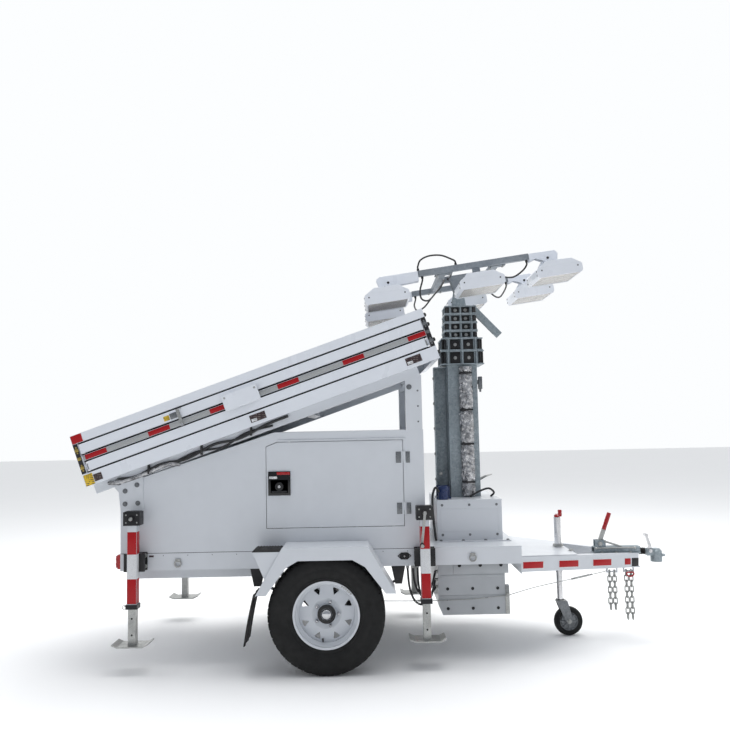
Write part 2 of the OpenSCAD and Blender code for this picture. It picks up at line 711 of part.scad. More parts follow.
module jack_fittings() {
    color(BLACK) {
        // gearbox heads
        for (x = jack_xs) for (s = [0, 1]) mirror([0, s, 0]) difference() {
            union() {
                block([x - 52, x + 52], [jack_y - 42, jack_y + 42], [jack_top, jack_top + 84]);
                rod_y(x, crank_z, 18, jack_y + 41, jack_y + 52);
            }
            block([x - jack_w / 2, x + jack_w / 2], [jack_y - jack_w / 2, jack_y + jack_w / 2],
                [jack_top - 1, jack_top + 2]);
            rod_y(x, crank_z, crank_r + fit, jack_y + 10, jack_y + 60);
        }
        // brackets to the rails, and the collars at the tubes' lower ends
        for (x = jack_xs) for (s = [0, 1]) mirror([0, s, 0]) {
            difference() {
                union() {
                    block([x - 65, x + 65], [body_y, body_y + 6], [rail_z + 7, deck_z + 11]);
                    block([x - 65, x + 65], [jack_y - jack_w / 2 - 6, jack_y - jack_w / 2 + 14],
                        [rail_z + 7, deck_z + 11]);
                    block([x - 34, x + 34], [body_y + 5, jack_y - jack_w / 2], [rail_z + 7, rail_z + 15]);
                    block([x - 34, x + 34], [body_y + 5, jack_y - jack_w / 2], [deck_z + 3, deck_z + 11]);
                    block([x - 36, x - 30], [body_y + 5, jack_y - jack_w / 2], [rail_z + 7, deck_z + 11]);
                    block([x + 30, x + 36], [body_y + 5, jack_y - jack_w / 2], [rail_z + 7, deck_z + 11]);
                }
                block([x - jack_w / 2, x + jack_w / 2], [jack_y - jack_w / 2, jack_y + jack_w / 2],
                    [rail_z, deck_z + 20]);
            }
            difference() {
                block([x - 36, x + 36], [jack_y - 36, jack_y + 36], [jack_bottom - 14, jack_bottom + 14]);
                block([x - jack_w / 2, x + jack_w / 2], [jack_y - jack_w / 2, jack_y + jack_w / 2],
                    [jack_bottom, jack_bottom + 20]);
                block([x - jack_w / 2 + 4, x + jack_w / 2 - 4],
                    [jack_y - jack_w / 2 + 4, jack_y + jack_w / 2 - 4],
                    [jack_bottom - 20, jack_bottom + 20]);
            }
        }
    }
}

leg_top = jack_top - 170;
module jack_leg(x, s) {
    color(GALV) translate([x, s * jack_y, 0]) {
        square_tube(leg_w, 4, foot_z + 6, leg_top);
        xz_prism([[-foot_l / 2, foot_z + 16], [-foot_l / 2 + 34, foot_z], [foot_l / 2 - 34, foot_z],
            [foot_l / 2, foot_z + 16], [foot_l / 2 - 3, foot_z + 22], [foot_l / 2 - 36, foot_z + 7],
            [-foot_l / 2 + 36, foot_z + 7], [-foot_l / 2 + 3, foot_z + 22]], -75, 75);
    }
}

module jack_leg_rear_near() { jack_leg(jack_xs[0], -1); }
module jack_leg_rear_far() { jack_leg(jack_xs[0], 1); }
module jack_leg_front_near() { jack_leg(jack_xs[1], -1); }
module jack_leg_front_far() { jack_leg(jack_xs[1], 1); }

module jack_crank() {
    x = jack_xs[1];
    color(GALV) {
        rod_y(x, crank_z, crank_r, -jack_y - 76, -jack_y - 12);
        translate([x, -jack_y - 70, crank_z]) rotate([0, 187, 0]) {
            translate([-8, -4, -14]) cube([16, 8, 214]);
            translate([0, 4, 192]) rotate([90, 0, 0]) cylinder(r = 11, h = 56);
        }
    }
}

// ---------- jockey wheel ----------

module jockey_tube() {
    color(GALV) translate([jockey_x, 0, 0]) difference() {
        translate([0, 0, 440]) cylinder(r = 24, h = jockey_top - 440);
        translate([0, 0, 439]) cylinder(r = jockey_r + 0.08, h = jockey_top - 451);
        translate([0, 0, jockey_top - 13]) cylinder(r = 8 + fit, h = 20);
    }
}

module jockey_crank() {
    color(RED) translate([jockey_x, 0, jockey_top]) {
        translate([0, 0, -10]) cylinder(r = 8, h = 24);
        translate([0, 0, 1]) cylinder(r = 20, h = 14);
        translate([-9, -104, 14]) cube([18, 116, 8]);
        translate([0, -92, 20]) cylinder(r = 13, h = 40);
    }
}

module jockey_stem() {
    color(GALV) translate([jockey_x, 0, 0]) difference() {
        translate([0, 0, fork_z]) cylinder(r = jockey_r, h = 350);
        translate([0, 0, fork_z - 1]) cylinder(r = 8 + fit, h = 32);
        translate([0, 0, fork_z + 40]) cylinder(r = jockey_r - 5, h = 320);
    }
}

module jockey_fork() {
    color(GALV) {
        translate([jockey_x, 0, fork_z - 12]) cylinder(r = 30, h = 11.5);
        translate([jockey_x, 0, fork_z - 4]) cylinder(r = 8, h = 33);
        difference() {
            block([jockey_x - 30, jockey_x + 44], [-35, 35], [fork_z - 18, fork_z - 10]);
            block([jockey_x - 31, jockey_x + 45], [-29, 29], [fork_z - 24, fork_z - 17]);
        }
        both_xz([[jockey_x - 30, fork_z - 10], [jockey_x + 44, fork_z - 10],
            [jockey_x + jockey_trail + 26, jockey_wheel_r + 20],
            [jockey_x + jockey_trail + 22, jockey_wheel_r - 16],
            [jockey_x + jockey_trail - 18, jockey_wheel_r - 16]], 29, 35);
        rod_y(jockey_x + jockey_trail, jockey_wheel_r, 8, -40, 40);
    }
}

module jockey_wheel() {
    color(BLACK) translate([jockey_x + jockey_trail, 0, jockey_wheel_r]) rotate([90, 0, 0])
        rotate_extrude($fn = 72) polygon([[8 + fit, -27], [24, -27], [24, -18], [62, -14], [64, -24],
            [90, -25], [97, -19], [jockey_wheel_r, -8], [jockey_wheel_r, 8], [97, 19], [90, 25], [64, 24],
            [62, 14], [24, 18], [24, 27], [8 + fit, 27]]);
}

// ---------- coupler, brake lever and chains ----------

module coupler_body() {
    color(GALV) difference() {
        union() {
            tube_x(coupler_x, [-35, 35], [tip_z + 2, tip_z + 44], 5);
            block(coupler_x, [-coupler_half, coupler_half], [tip_z - 2, tip_z + 4]);
            rod_x(nose_x - 200, nose_x - 110, 0, tip_z + 6, 19);
            block([nose_x - 134, nose_x - 60], [-28, 28], [tip_z - 24, tip_z + 22]);
            translate([ball_x, 0, tip_z - 68]) cylinder(r = 40, h = 74);
            translate([ball_x, 0, tip_z + 5]) cylinder(r1 = 40, r2 = 24, h = 18);
            translate([ball_x + 30, 0, tip_z - 30]) cylinder(r = 33, h = 12);
            // lever bracket
            both_blocks([lever_x - 34, lever_x + 40], [20, 26], [tip_z + 40, lever_z + 24]);
        }
        translate([ball_x, 0, tip_z - 70]) cylinder(r = ball_r, h = 56);
        rod_y(lever_x, lever_z, 8 + fit, -60, 60);
        rod_y(nose_x - 112, tip_z + 10, 6 + fit, -60, 60);
        block([nose_x - 140, nose_x - 84], [-10, 10], [tip_z - 6, tip_z + 30]);
    }
}

module coupler_latch() {
    color(GALV) {
        rod_y(nose_x - 112, tip_z + 10, 6, -34, 34);
        xz_prism([[nose_x - 124, tip_z + 4], [nose_x - 102, tip_z + 2], [nose_x - 96, tip_z + 40],
            [nose_x - 126, tip_z + 126], [nose_x - 138, tip_z + 124], [nose_x - 116, tip_z + 40]], -9, 9);
        block([nose_x - 142, nose_x - 122], [-24, 24], [tip_z + 112, tip_z + 126]);
    }
}

module brake_lever() {
    color(GALV) {
        rod_y(lever_x, lever_z, 8, -32, 32);
        translate([lever_x, 0, lever_z]) rotate([0, 21, 0]) {
            translate([-14, -8, -6]) cube([28, 16, 116]);
            translate([-6, -6, 100]) cube([12, 12, 30]);
            translate([0, 0, 108]) cylinder(r = 14, h = 118);
        }
    }
}

module chain_link() {
    s = link_l / 2 - link_w / 2;
    for (k = [0, 1]) rotate([0, 180 * k, 0]) {
        translate([0, 0, s]) rotate([90, 0, 0]) rotate_extrude(angle = 180, $fn = 32)
            translate([link_w / 2 - wire_d / 2, 0]) circle(d = wire_d, $fn = 20);
        translate([link_w / 2 - wire_d / 2, 0, -s]) cylinder(d = wire_d, h = 2 * s, $fn = 20);
    }
}

// Two strands of links that hang from the eye under a tongue beam
module chain(x, links) {
    pitch = link_l - 2 * wire_d - 1;
    first = eye_r + 0.4 - (link_l / 2 - wire_d);
    color(GALV) translate([x, -beam_y(x), beam_under(x) - eye_drop])
        for (s = [-1, 1], i = [0 : links - 1])
            translate([17 * s, 0, first - pitch * i]) rotate([0, 0, i % 2 == 0 ? 90 : 0]) chain_link();
}

function beam_y(x) = tongue_root[1] - (x - deck_x1) * tan(tongue_yaw);
function beam_under(x) = tongue_root[2] - (x - deck_x1) * tan(tongue_slope) - beam_h;
chain_xs = [nose_x - 428, nose_x - 290];
module chain_rear() { chain(chain_xs[0], 7); }
module chain_front() { chain(chain_xs[1], 9); }

// ---------- mast ----------

module mast_base_box() {
    color(WHITE) difference() {
        block([base_box[0], base_box[1]], [-base_box[2], base_box[2]], [deck_z + 4, deck_z + base_box[3]]);
        block([base_box[0] + sheet, base_box[1] - sheet], [-base_box[2] + sheet, base_box[2] - sheet],
            [deck_z, deck_z + base_box[3] - sheet]);
        translate([mast_x - mast_w / 2 - 2, -mast_w / 2 - 2, deck_z]) cube([mast_w + 4, mast_w + 4, 400]);
    }
}

// A clamp collar: two flanges, a block and upright ribs, bored square for the next stage
module collar(k) {
    w = collar_w[k];
    h = collar_h[k];
    z = collar_at(k);
    hole = k < 5 ? stage_w(k + 1) + 2 : 0;
    difference() {
        union() {
            translate([-w / 2, -w / 2, z]) cube([w, w, 8]);
            translate([-w / 2, -w / 2, z + h - 8]) cube([w, w, 8]);
            translate([-w / 2 + 30, -w / 2 + 30, z]) cube([w - 60, w - 60, h]);
            for (a = [0 : 90 : 270]) rotate([0, 0, a]) for (y = [-w / 3, 0, w / 3])
                translate([w / 2 - 34, y - 5, z]) cube([30, 10, h]);
        }
        if (k < 5) translate([-hole / 2, -hole / 2, z - 1]) cube([hole, hole, h + 2]);
    }
}

module mast_tube() {
    color(GALV) translate([mast_x, 0, 0]) {
        square_tube(mast_w, mast_t, mast_z0, collar_z + 1);
        collar(0);
        translate([-120, -120, deck_z + 4]) cube([240, 240, 8]);
    }
}

module mast_stage(k) {
    color(GALV) translate([mast_x, 0, 0]) {
        square_tube(stage_w(k), mast_t, mast_z0 + 15 + 12 * k, collar_at(k) + 1);
        collar(k);
    }
}

module mast_stage_1() { mast_stage(1); }
module mast_stage_2() { mast_stage(2); }
module mast_stage_3() { mast_stage(3); }
module mast_stage_4() { mast_stage(4); }

module mast_stage_5() {
    mast_stage(5);
    color(GALV) translate([mast_x, 0, 0]) {
        // fork for the light head, with its pin
        both_xz([[-50, mast_top - 1], [50, mast_top - 1], [30, pivot_z + 26], [-30, pivot_z + 26]], 34, 44);
        rod_y(0, pivot_z, pivot_r, -52, 52);
        block([-60, 60], [-60, 60], [mast_top - 1, mast_top + 8]);
        // stay arm that leans out ahead of the collars
        translate([92, 0, mast_top + 4]) rotate([0, 137, 0]) {
            difference() {
                translate([-25, -15, 0]) cube([50, 30, 290]);
                translate([-19, -11, -1]) cube([60, 22, 250]);
            }
        }
        block([50, 120], [-15, 15], [mast_top - 1, mast_top + 8]);
    }
}

module mast_post() {
    x = [mast_x - mast_w / 2 - 92, mast_x - mast_w / 2];
    color(GALV) {
        difference() {
            block(x, [-46, 46], [deck_z + base_box[3], collar_z - 8]);
            block([x[0] + 4, x[1] - 4], [-47, 42], [deck_z + base_box[3] + 8, collar_z - 16]);
        }
    }
}

module winch() {
    z = deck_z + base_box[3];
    x = base_box[0] + 8;
    color("#2b4f86") {
        block([x, x + 100], [-240, -110], [z, z + 10]);
        winch_cheeks(x, z);
        rod_y(x + 48, z + 44, 26, -232, -118);
        rod_y(x + 48, z + 44, 40, -140, -134);
        rod_y(x + 48, z + 44, 40, -216, -210);
        translate([x + 40, -290, z]) cylinder(r = 34, h = 62);
    }
}

module winch_cheeks(x, z) {
    block([x + 8, x + 92], [-238, -232], [z + 9, z + 84]);
    block([x + 8, x + 92], [-118, -112], [z + 9, z + 84]);
}

under_box = [mast_x - 245, mast_x + 188, 500, rail_z - 335];
module under_deck_box() {
    color(GREY) {
        difference() {
            xz_prism([[under_box[0] + 26, under_box[3]], [under_box[1], under_box[3]], [under_box[1], rail_z],
                [under_box[0], rail_z], [under_box[0], under_box[3] + 60]], -under_box[2], under_box[2]);
            xz_prism([[under_box[0] + 26 + sheet, under_box[3] + sheet],
                [under_box[1] - sheet, under_box[3] + sheet],
                [under_box[1] - sheet, rail_z - sheet], [under_box[0] + sheet, rail_z - sheet],
                [under_box[0] + sheet, under_box[3] + 61]], -under_box[2] + sheet, under_box[2] - sheet);
            block([under_box[0] + 60, under_box[1] - 60], [-under_box[2] + 60, under_box[2] - 60],
                [rail_z - 10, rail_z + 1]);
        }
        // cable pulley bracket on the front corner
        block([under_box[1] - 1, under_box[1] + 26], [-under_box[2], -under_box[2] + 40],
            [under_box[3], under_box[3] + 180]);
    }
}

// ---------- light head ----------

module lamp_lug(u, v) {
    difference() {
        block([u - 26, u + 26], [v - 8, v + 8], [bar_w0 - lamp_drop - 18, bar_w0 - bar_s / 2 + 1]);
        translate([u, v + 20, bar_w0 - lamp_drop]) rotate([90, 0, 0]) cylinder(r = lamp_pin_r + fit, h = 40);
    }
}

module head_frame() {
    w = [bar_w0 - bar_s / 2, bar_w0 + bar_s / 2];
    color(GREY) on_head() {
        for (v = [-bar_y, bar_y]) {
            tube_x(bar_u, [v - bar_s / 2, v + bar_s / 2], w, 3);
            block([lamp_u[0] - 26, bar_u[0] + 4], [v - 12, v + 12], [w[0], w[1] - 6]);
            block([bar_u[1] - 4, lamp_u[2] + 26], [v - 12, v + 12], [w[0], w[1] - 6]);
            for (u = lamp_u) lamp_lug(u, v);
        }
        for (u = [-130, 240])
            tube_y([u - 20, u + 20], [-bar_y + bar_s / 2 - 1, bar_y - bar_s / 2 + 1], w, 3);
        tube_x([-151, 261], [-30, 30], w, 3);
        difference() {
            both_xz([[-45, w[0] + 1], [45, w[0] + 1], [26, -24], [-26, -24]], 20, 30);
            rod_y(0, 0, pivot_r + fit, -60, 60);
        }
        // gussets where the cross tubes meet the bars
        for (u = [-130, 240]) both_blocks([u - 60, u + 60], [bar_y - 80, bar_y - 19], [w[0] - 5, w[0]]);
    }
}

module lamp(i, side) {
    y = side * bar_y;
    color(WHITE) on_head() translate([lamp_u[i], y, bar_w0 - lamp_drop]) {
        top = -45;
        low = top - lamp_t;
        difference() {
            xz_prism([[-lamp_l / 2 + 12, top], [-lamp_l / 2, top - 14], [-lamp_l / 2, low + 14],
                [-lamp_l / 2 + 14, low], [lamp_l / 2 - 14, low], [lamp_l / 2, low + 14],
                [lamp_l / 2, top - 14], [lamp_l / 2 - 12, top]], -lamp_w / 2, lamp_w / 2);
            block([-lamp_l / 2 + 20, lamp_l / 2 - 20], [-lamp_w / 2 + 8, lamp_w / 2 - 8],
                [low - 1, top - 12]);
        }
        for (v = [10, -14]) xz_prism([[-120, top - 1], [120, top - 1], [70, 20], [-70, 20]], v, v + 4);
        rod_y(0, 0, lamp_pin_r, -20, 20);
        // cooling fins on the back
        for (v = [-lamp_w / 2 + 20 : 22 : -30]) both_blocks([-lamp_l / 2 + 30, lamp_l / 2 - 30], [-v, -v + 3],
            [top - 1, top + 14]);
    }
}

module lamp_near_rear() { lamp(0, -1); }
module lamp_near_mid() { lamp(1, -1); }
module lamp_near_front() { lamp(2, -1); }
module lamp_far_rear() { lamp(0, 1); }
module lamp_far_mid() { lamp(1, 1); }
module lamp_far_front() { lamp(2, 1); }

// ---------- cables, lights and rings ----------

module head_cables() {
    color(BLACK) on_head() for (r = head_routes) cable(r, 12);
}

module lower_cables() {
    color(BLACK) {
        for (r = hose_routes) cable(r, 14);
        cable(brake_route, 5, 1);
    }
}

module tail_lights() {
    color(RED) for (s = [0, 1]) mirror([0, s, 0]) {
        block([cab_x0 - 28, cab_x0], [body_y - 210, body_y - 30], [rail_z + 8, rail_z + 98]);
        block([cab_x0 - 40, cab_x0 - 27], [body_y - 200, body_y - 40], [rail_z + 16, rail_z + 90]);
    }
}

ring_xs = [cab_x0 + 370, cab_x1 + 294];
module lashing_rings() {
    color(GALV) for (x = ring_xs) for (s = [0, 1]) mirror([0, s, 0]) {
        block([x - 16, x + 16], [body_y, body_y + 12], [rail_z + 52, rail_z + 72]);
        translate([x, body_y + 11, rail_z + 42]) rotate([90, 0, 0]) rotate_extrude($fn = 40)
            translate([20, 0]) circle(d = 9, $fn = 20);
    }
}

chassis_frame();
deck_plates();
tongue_frame();
axle_set();
fenders();
mudflaps();
tyre_near();
tyre_far();
rim_near();
rim_far();
cabinet_shell();
door_near();
door_far();
power_pack();
array_subframe();
array_cage();
array_top_frame();
drawer_near();
drawer_far();
slides_near();
slides_far();
drawer_lock_bar();
jack_tubes();
jack_fittings();
jack_leg_rear_near();
jack_leg_rear_far();
jack_leg_front_near();
jack_leg_front_far();
jack_crank();
jockey_tube();
jockey_crank();
jockey_stem();
jockey_fork();
jockey_wheel();
coupler_body();
coupler_latch();
brake_lever();
chain_rear();
chain_front();
mast_base_box();
mast_tube();
mast_stage_1();
mast_stage_2();
mast_stage_3();
mast_stage_4();
mast_stage_5();
mast_post();
winch();
under_deck_box();
head_frame();
lamp_near_rear();
lamp_near_mid();
lamp_near_front();
lamp_far_rear();
lamp_far_mid();
lamp_far_front();
head_cables();
lower_cables();
tail_lights();
lashing_rings();
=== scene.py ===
"""Looks of the solar light tower trailer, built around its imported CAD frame.

Metres, Z up, +X to the hitch. Stack and light head pieces are drawn in their own tilted axes.
"""
import json
import math

import bmesh
import bpy
from mathutils import Matrix, Vector


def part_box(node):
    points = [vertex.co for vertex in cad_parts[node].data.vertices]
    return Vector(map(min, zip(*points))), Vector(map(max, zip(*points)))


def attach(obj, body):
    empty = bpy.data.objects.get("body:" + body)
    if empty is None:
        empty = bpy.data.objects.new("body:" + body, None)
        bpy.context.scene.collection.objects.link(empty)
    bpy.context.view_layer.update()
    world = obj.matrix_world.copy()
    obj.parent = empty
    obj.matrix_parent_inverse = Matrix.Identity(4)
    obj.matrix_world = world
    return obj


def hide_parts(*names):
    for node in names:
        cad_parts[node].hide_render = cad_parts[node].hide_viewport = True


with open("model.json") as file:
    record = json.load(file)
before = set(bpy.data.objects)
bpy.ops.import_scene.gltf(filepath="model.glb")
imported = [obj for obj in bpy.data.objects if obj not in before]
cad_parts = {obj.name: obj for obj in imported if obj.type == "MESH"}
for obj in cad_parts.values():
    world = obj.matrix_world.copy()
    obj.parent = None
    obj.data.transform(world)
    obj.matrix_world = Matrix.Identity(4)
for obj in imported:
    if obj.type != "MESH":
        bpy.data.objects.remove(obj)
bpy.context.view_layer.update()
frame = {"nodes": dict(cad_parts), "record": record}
NODES = frame["nodes"]
JOINTS = {j["name"]: j for j in frame["record"]["behaviour"]["joints"]}

# ---------- places taken from the frame ----------

TILT = math.radians(19)
STACK_T = 0.343
HEAD_TILT = math.radians(7.8)
NEAR_W, MID_W, TOP_W, FAR_W = 0.213, 0.166, 0.286, 0.095
BASE_T, FAR_T, MID_T, NEAR_T, TOP_T = 0.084, 0.060, 0.036, 0.062, 0.057
STACK_L = 2.418
top_lo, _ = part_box("array_top_frame")
cage_lo, cage_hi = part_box("array_cage")
HALF = cage_hi.y
STACK = (Matrix.Translation((top_lo.x + STACK_T * math.sin(TILT), 0, cage_lo.z))
         @ Matrix.Rotation(-TILT, 4, "Y"))
PIVOT = Vector(JOINTS["light_head_tilt"]["pos_m"])
HEAD = Matrix.Translation(PIVOT) @ Matrix.Rotation(-HEAD_TILT, 4, "Y")
cab_lo, cab_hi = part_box("cabinet_shell")
_, rail_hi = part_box("chassis_frame")
BODY_Y = rail_hi.y
RAIL_Z = rail_hi.z - 0.107
MAST_X = PIVOT.x
AXLE = Vector(JOINTS["wheel_near_spin"]["pos_m"])
TYRE_R = AXLE.z
SIDES = (("near", -1), ("far", 1))


# ---------- materials ----------

EDGE_WEAR = 0.002  # radius of the softened edges on painted sheet


class Tree:
    """A small helper that adds nodes to a material and links them."""

    def __init__(self, name):
        self.mat = bpy.data.materials.new(name)
        self.mat.use_nodes = True
        self.nodes = self.mat.node_tree.nodes
        self.links = self.mat.node_tree.links
        self.bsdf = self.nodes["Principled BSDF"]
        self.coord = self.add("ShaderNodeTexCoord").outputs["Object"]

    def add(self, kind, **values):
        node = self.nodes.new(kind)
        for key, value in values.items():
            if key in node.inputs:
                node.inputs[key].default_value = value
            else:
                setattr(node, key, value)
        return node

    def link(self, out, into):
        self.links.new(out, into)

    def scaled(self, scale, rotation=(0, 0, 0)):
        node = self.add("ShaderNodeMapping")
        node.inputs["Scale"].default_value = scale
        node.inputs["Rotation"].default_value = rotation
        self.link(self.coord, node.inputs["Vector"])
        return node.outputs["Vector"]

    def noise(self, scale, detail=3.0, vector=None):
        node = self.add("ShaderNodeTexNoise", Scale=scale, Detail=detail, Roughness=0.5)
        self.link(vector or self.coord, node.inputs["Vector"])
        return node.outputs["Fac"]

    def voronoi(self, scale, feature="F1", vector=None):
        node = self.add("ShaderNodeTexVoronoi", feature=feature, Scale=scale)
        self.link(vector or self.coord, node.inputs["Vector"])
        return node

    def ramp(self, factor, stops):
        node = self.add("ShaderNodeValToRGB")
        ramp = node.color_ramp
        while len(ramp.elements) < len(stops):
            ramp.elements.new(0.5)
        for element, (place, colour) in zip(ramp.elements, stops):
            element.position = place
            element.color = (*colour, 1) if len(colour) == 3 else colour
        self.link(factor, node.inputs["Fac"])
        return node.outputs["Color"]

    def grey(self, factor, low, high, start=0.0, end=1.0):
        return self.ramp(factor, [(start, (low,) * 3), (end, (high,) * 3)])

    def mix(self, factor, a, b, blend="MIX"):
        node = self.add("ShaderNodeMix", data_type="RGBA", blend_type=blend)
        for value, socket in ((factor, node.inputs[0]), (a, node.inputs[6]), (b, node.inputs[7])):
            if isinstance(value, (int, float)):
                socket.default_value = value
            elif isinstance(value, tuple):
                socket.default_value = (*value, 1)
            else:
                self.link(value, socket)
        return node.outputs[2]

    def math(self, operation, a, b=0.0):
        node = self.add("ShaderNodeMath", operation=operation)
        for value, socket in ((a, node.inputs[0]), (b, node.inputs[1])):
            if isinstance(value, (int, float)):
                socket.default_value = value
            else:
                self.link(value, socket)
        return node.outputs[0]

    def bump(self, height, strength, distance=0.001, edge=0.0):
        node = self.add("ShaderNodeBump", Strength=strength, Distance=distance)
        self.link(height, node.inputs["Height"])
        if edge:
            bevel = self.add("ShaderNodeBevel", samples=4)
            bevel.inputs["Radius"].default_value = edge
            self.link(bevel.outputs["Normal"], node.inputs["Normal"])
        self.link(node.outputs["Normal"], self.bsdf.inputs["Normal"])

    def done(self, colour=None, rough=None, metallic=0.0, **fixed):
        if colour is not None:
            self.link(colour, self.bsdf.inputs["Base Color"])
        if rough is not None:
            self.link(rough, self.bsdf.inputs["Roughness"])
        self.bsdf.inputs["Metallic"].default_value = metallic
        for key, value in fixed.items():
            self.bsdf.inputs[key.replace("_", " ")].default_value = value
        return self.mat


def coat(name, base, rough=0.34, grime=0.045):
    """Powder-coated sheet: slight orange peel, faint dust and run marks."""
    t = Tree(name)
    soft = t.noise(1.7, 4)
    streak = t.noise(3.0, 5, t.scaled((2.5, 2.5, 1.2)))
    dirt = t.grey(t.math("MULTIPLY", soft, streak), 1.0, 1 - grime, 0.22, 0.5)
    tone = t.mix(t.noise(14, 2), tuple(c * 0.975 for c in base), tuple(min(1, c * 1.02) for c in base))
    colour = t.mix(1.0, tone, dirt, "MULTIPLY")
    t.bump(t.noise(420, 2), 0.05, 0.0006, EDGE_WEAR)
    return t.done(colour, t.grey(streak, rough - 0.06, rough + 0.1, 0.3, 0.7), 0.0, Coat_Weight=0.25,
                  Coat_Roughness=0.12)


def zinc(name, low, high, scale, rough, metallic=0.85):
    """Galvanised or plated steel: crystals of slightly different grey, fine scratches."""
    t = Tree(name)
    cells = t.voronoi(scale)
    tone = t.mix(t.grey(cells.outputs["Color"], 0, 1), low, high)
    stain = t.grey(t.noise(5, 5), 0.78, 1.0, 0.3, 0.6)
    colour = t.mix(1.0, tone, stain, "MULTIPLY")
    t.bump(t.noise(160, 4), 0.12, 0.0008, EDGE_WEAR * 0.75)
    return t.done(colour, t.grey(t.noise(22, 4), rough - 0.1, rough + 0.14, 0.3, 0.7), metallic)


def dark(name, base, rough, grain, depth=0.25, dust=(0.09, 0.085, 0.08)):
    """Rubber, plastic or dark coat with a fine grain and a little dust."""
    t = Tree(name)
    colour = t.mix(t.grey(t.noise(6, 5), 0, 0.5, 0.45, 0.8), base, dust)
    t.bump(t.noise(grain, 3), depth, 0.0007)
    return t.done(colour, t.grey(t.noise(30, 3), rough - 0.08, rough + 0.12, 0.3, 0.7), 0.0,
                  Specular_IOR_Level=0.3)


def gloss(name, base, rough=0.25, metallic=0.0, amount=0.12):
    t = Tree(name)
    colour = t.mix(t.noise(40, 3), tuple(c * (1 - amount) for c in base), base)
    t.bump(t.noise(300, 2), 0.04, 0.0004)
    return t.done(colour, t.grey(t.noise(50, 3), rough * 0.7, rough * 1.4, 0.3, 0.7), metallic)


def tape(name, base):
    """Reflective sheeting with its small diamond prisms."""
    t = Tree(name)
    prism = t.voronoi(260, "DISTANCE_TO_EDGE").outputs["Distance"]
    colour = t.mix(t.grey(prism, 0, 1, 0.02, 0.12), tuple(c * 0.72 for c in base), base)
    t.bump(prism, 0.2, 0.0004)
    return t.done(colour, t.grey(t.noise(60, 2), 0.30, 0.45), 0.0, Specular_IOR_Level=0.3)


def grid_line(t, source, pitch, width):
    """1 on a line of the given width that repeats at the pitch, else 0."""
    part = t.math("FRACT", t.math("DIVIDE", t.math("ADD", source, 50 * pitch), pitch))
    return t.math("LESS_THAN", part, width / pitch)


def solar_glass(name):
    """Half-cut silicon cells with silver bus bars under tempered glass, in the stack's own axes."""
    t = Tree(name)
    parts = t.add("ShaderNodeSeparateXYZ")
    t.link(t.scaled((1, 1, 1), (0, TILT, 0)), parts.inputs[0])
    u, v = parts.outputs["X"], parts.outputs["Y"]
    lines = t.math("MAXIMUM", grid_line(t, u, 0.0915, 0.002), grid_line(t, v, 0.1835, 0.0025))
    bars = grid_line(t, v, 0.01835, 0.0007)
    cell = t.mix(t.noise(3, 3), (0.006, 0.010, 0.030), (0.012, 0.020, 0.052))
    colour = t.mix(t.math("MULTIPLY", bars, 0.35), cell, (0.32, 0.34, 0.36))
    colour = t.mix(lines, colour, (0.42, 0.44, 0.47))
    t.bump(t.noise(500, 2), 0.02, 0.0003)
    return t.done(colour, t.grey(t.noise(9, 4), 0.07, 0.2), 0.0, Coat_Weight=0.8, Coat_Roughness=0.04)


def led_board(name):
    """White board with a regular grid of yellow chips, in the light head's own axes."""
    t = Tree(name)
    parts = t.add("ShaderNodeSeparateXYZ")
    t.link(t.scaled((1, 1, 1), (0, HEAD_TILT, 0)), parts.inputs[0])
    du = grid_line(t, parts.outputs["X"], 0.018, 0.0055)
    dv = grid_line(t, parts.outputs["Y"], 0.018, 0.0055)
    chip = t.math("MULTIPLY", du, dv)
    colour = t.mix(chip, t.mix(t.noise(30, 2), (0.66, 0.64, 0.6), (0.72, 0.71, 0.69)), (0.75, 0.55, 0.16))
    t.bump(chip, 0.5, 0.001)
    return t.done(colour, t.grey(t.noise(50, 2), 0.35, 0.5))


def lens_ribs(name):
    t = Tree(name)
    t.bsdf.inputs["Transmission Weight"].default_value = 0.55
    colour = t.mix(t.noise(60, 2), (0.78, 0.76, 0.72), (0.88, 0.87, 0.85))
    t.bump(t.noise(180, 2), 0.1, 0.0005)
    return t.done(colour, t.grey(t.noise(40, 2), 0.08, 0.2), 0.0, IOR=1.45)


def foil(name):
    """Crinkled metal foil round the cable duct."""
    t = Tree(name)
    fold = t.voronoi(34, "DISTANCE_TO_EDGE", t.scaled((1, 1, 0.55))).outputs["Distance"]
    wrinkle = t.math("ADD", t.noise(46, 6), t.math("MULTIPLY", fold, 2.0))
    colour = t.ramp(t.noise(20, 4), [(0.3, (0.20, 0.20, 0.205)), (0.7, (0.66, 0.66, 0.67))])
    t.bump(wrinkle, 0.9, 0.006)
    return t.done(colour, t.grey(t.noise(30, 3), 0.16, 0.4), 0.9)


def sticker(name, base, second, pitch):
    """A generic printed label: a plain ground with unreadable bars."""
    t = Tree(name)
    parts = t.add("ShaderNodeSeparateXYZ")
    t.link(t.coord, parts.inputs[0])
    bar = grid_line(t, parts.outputs["Z"], pitch, pitch * 0.4)
    part = t.grey(t.noise(120, 1, t.scaled((1, 1, 0.2))), 0, 1, 0.48, 0.52)
    colour = t.mix(t.math("MULTIPLY", bar, part), base, second)
    t.bump(t.noise(200, 2), 0.03, 0.0003)
    return t.done(colour, t.grey(t.noise(40, 2), 0.3, 0.42))


def cable_skin(name):
    t = Tree(name)
    colour = t.mix(t.noise(25, 3), (0.010, 0.010, 0.011), (0.028, 0.028, 0.030))
    t.bump(t.noise(240, 2), 0.15, 0.0005)
    return t.done(colour, t.grey(t.noise(30, 2), 0.38, 0.55))


def concrete_floor(name):
    t = Tree(name)
    colour = t.mix(t.noise(0.8, 3), (0.95, 0.95, 0.95), (0.97, 0.97, 0.97))
    return t.done(colour, t.grey(t.noise(2, 2), 0.75, 0.85))


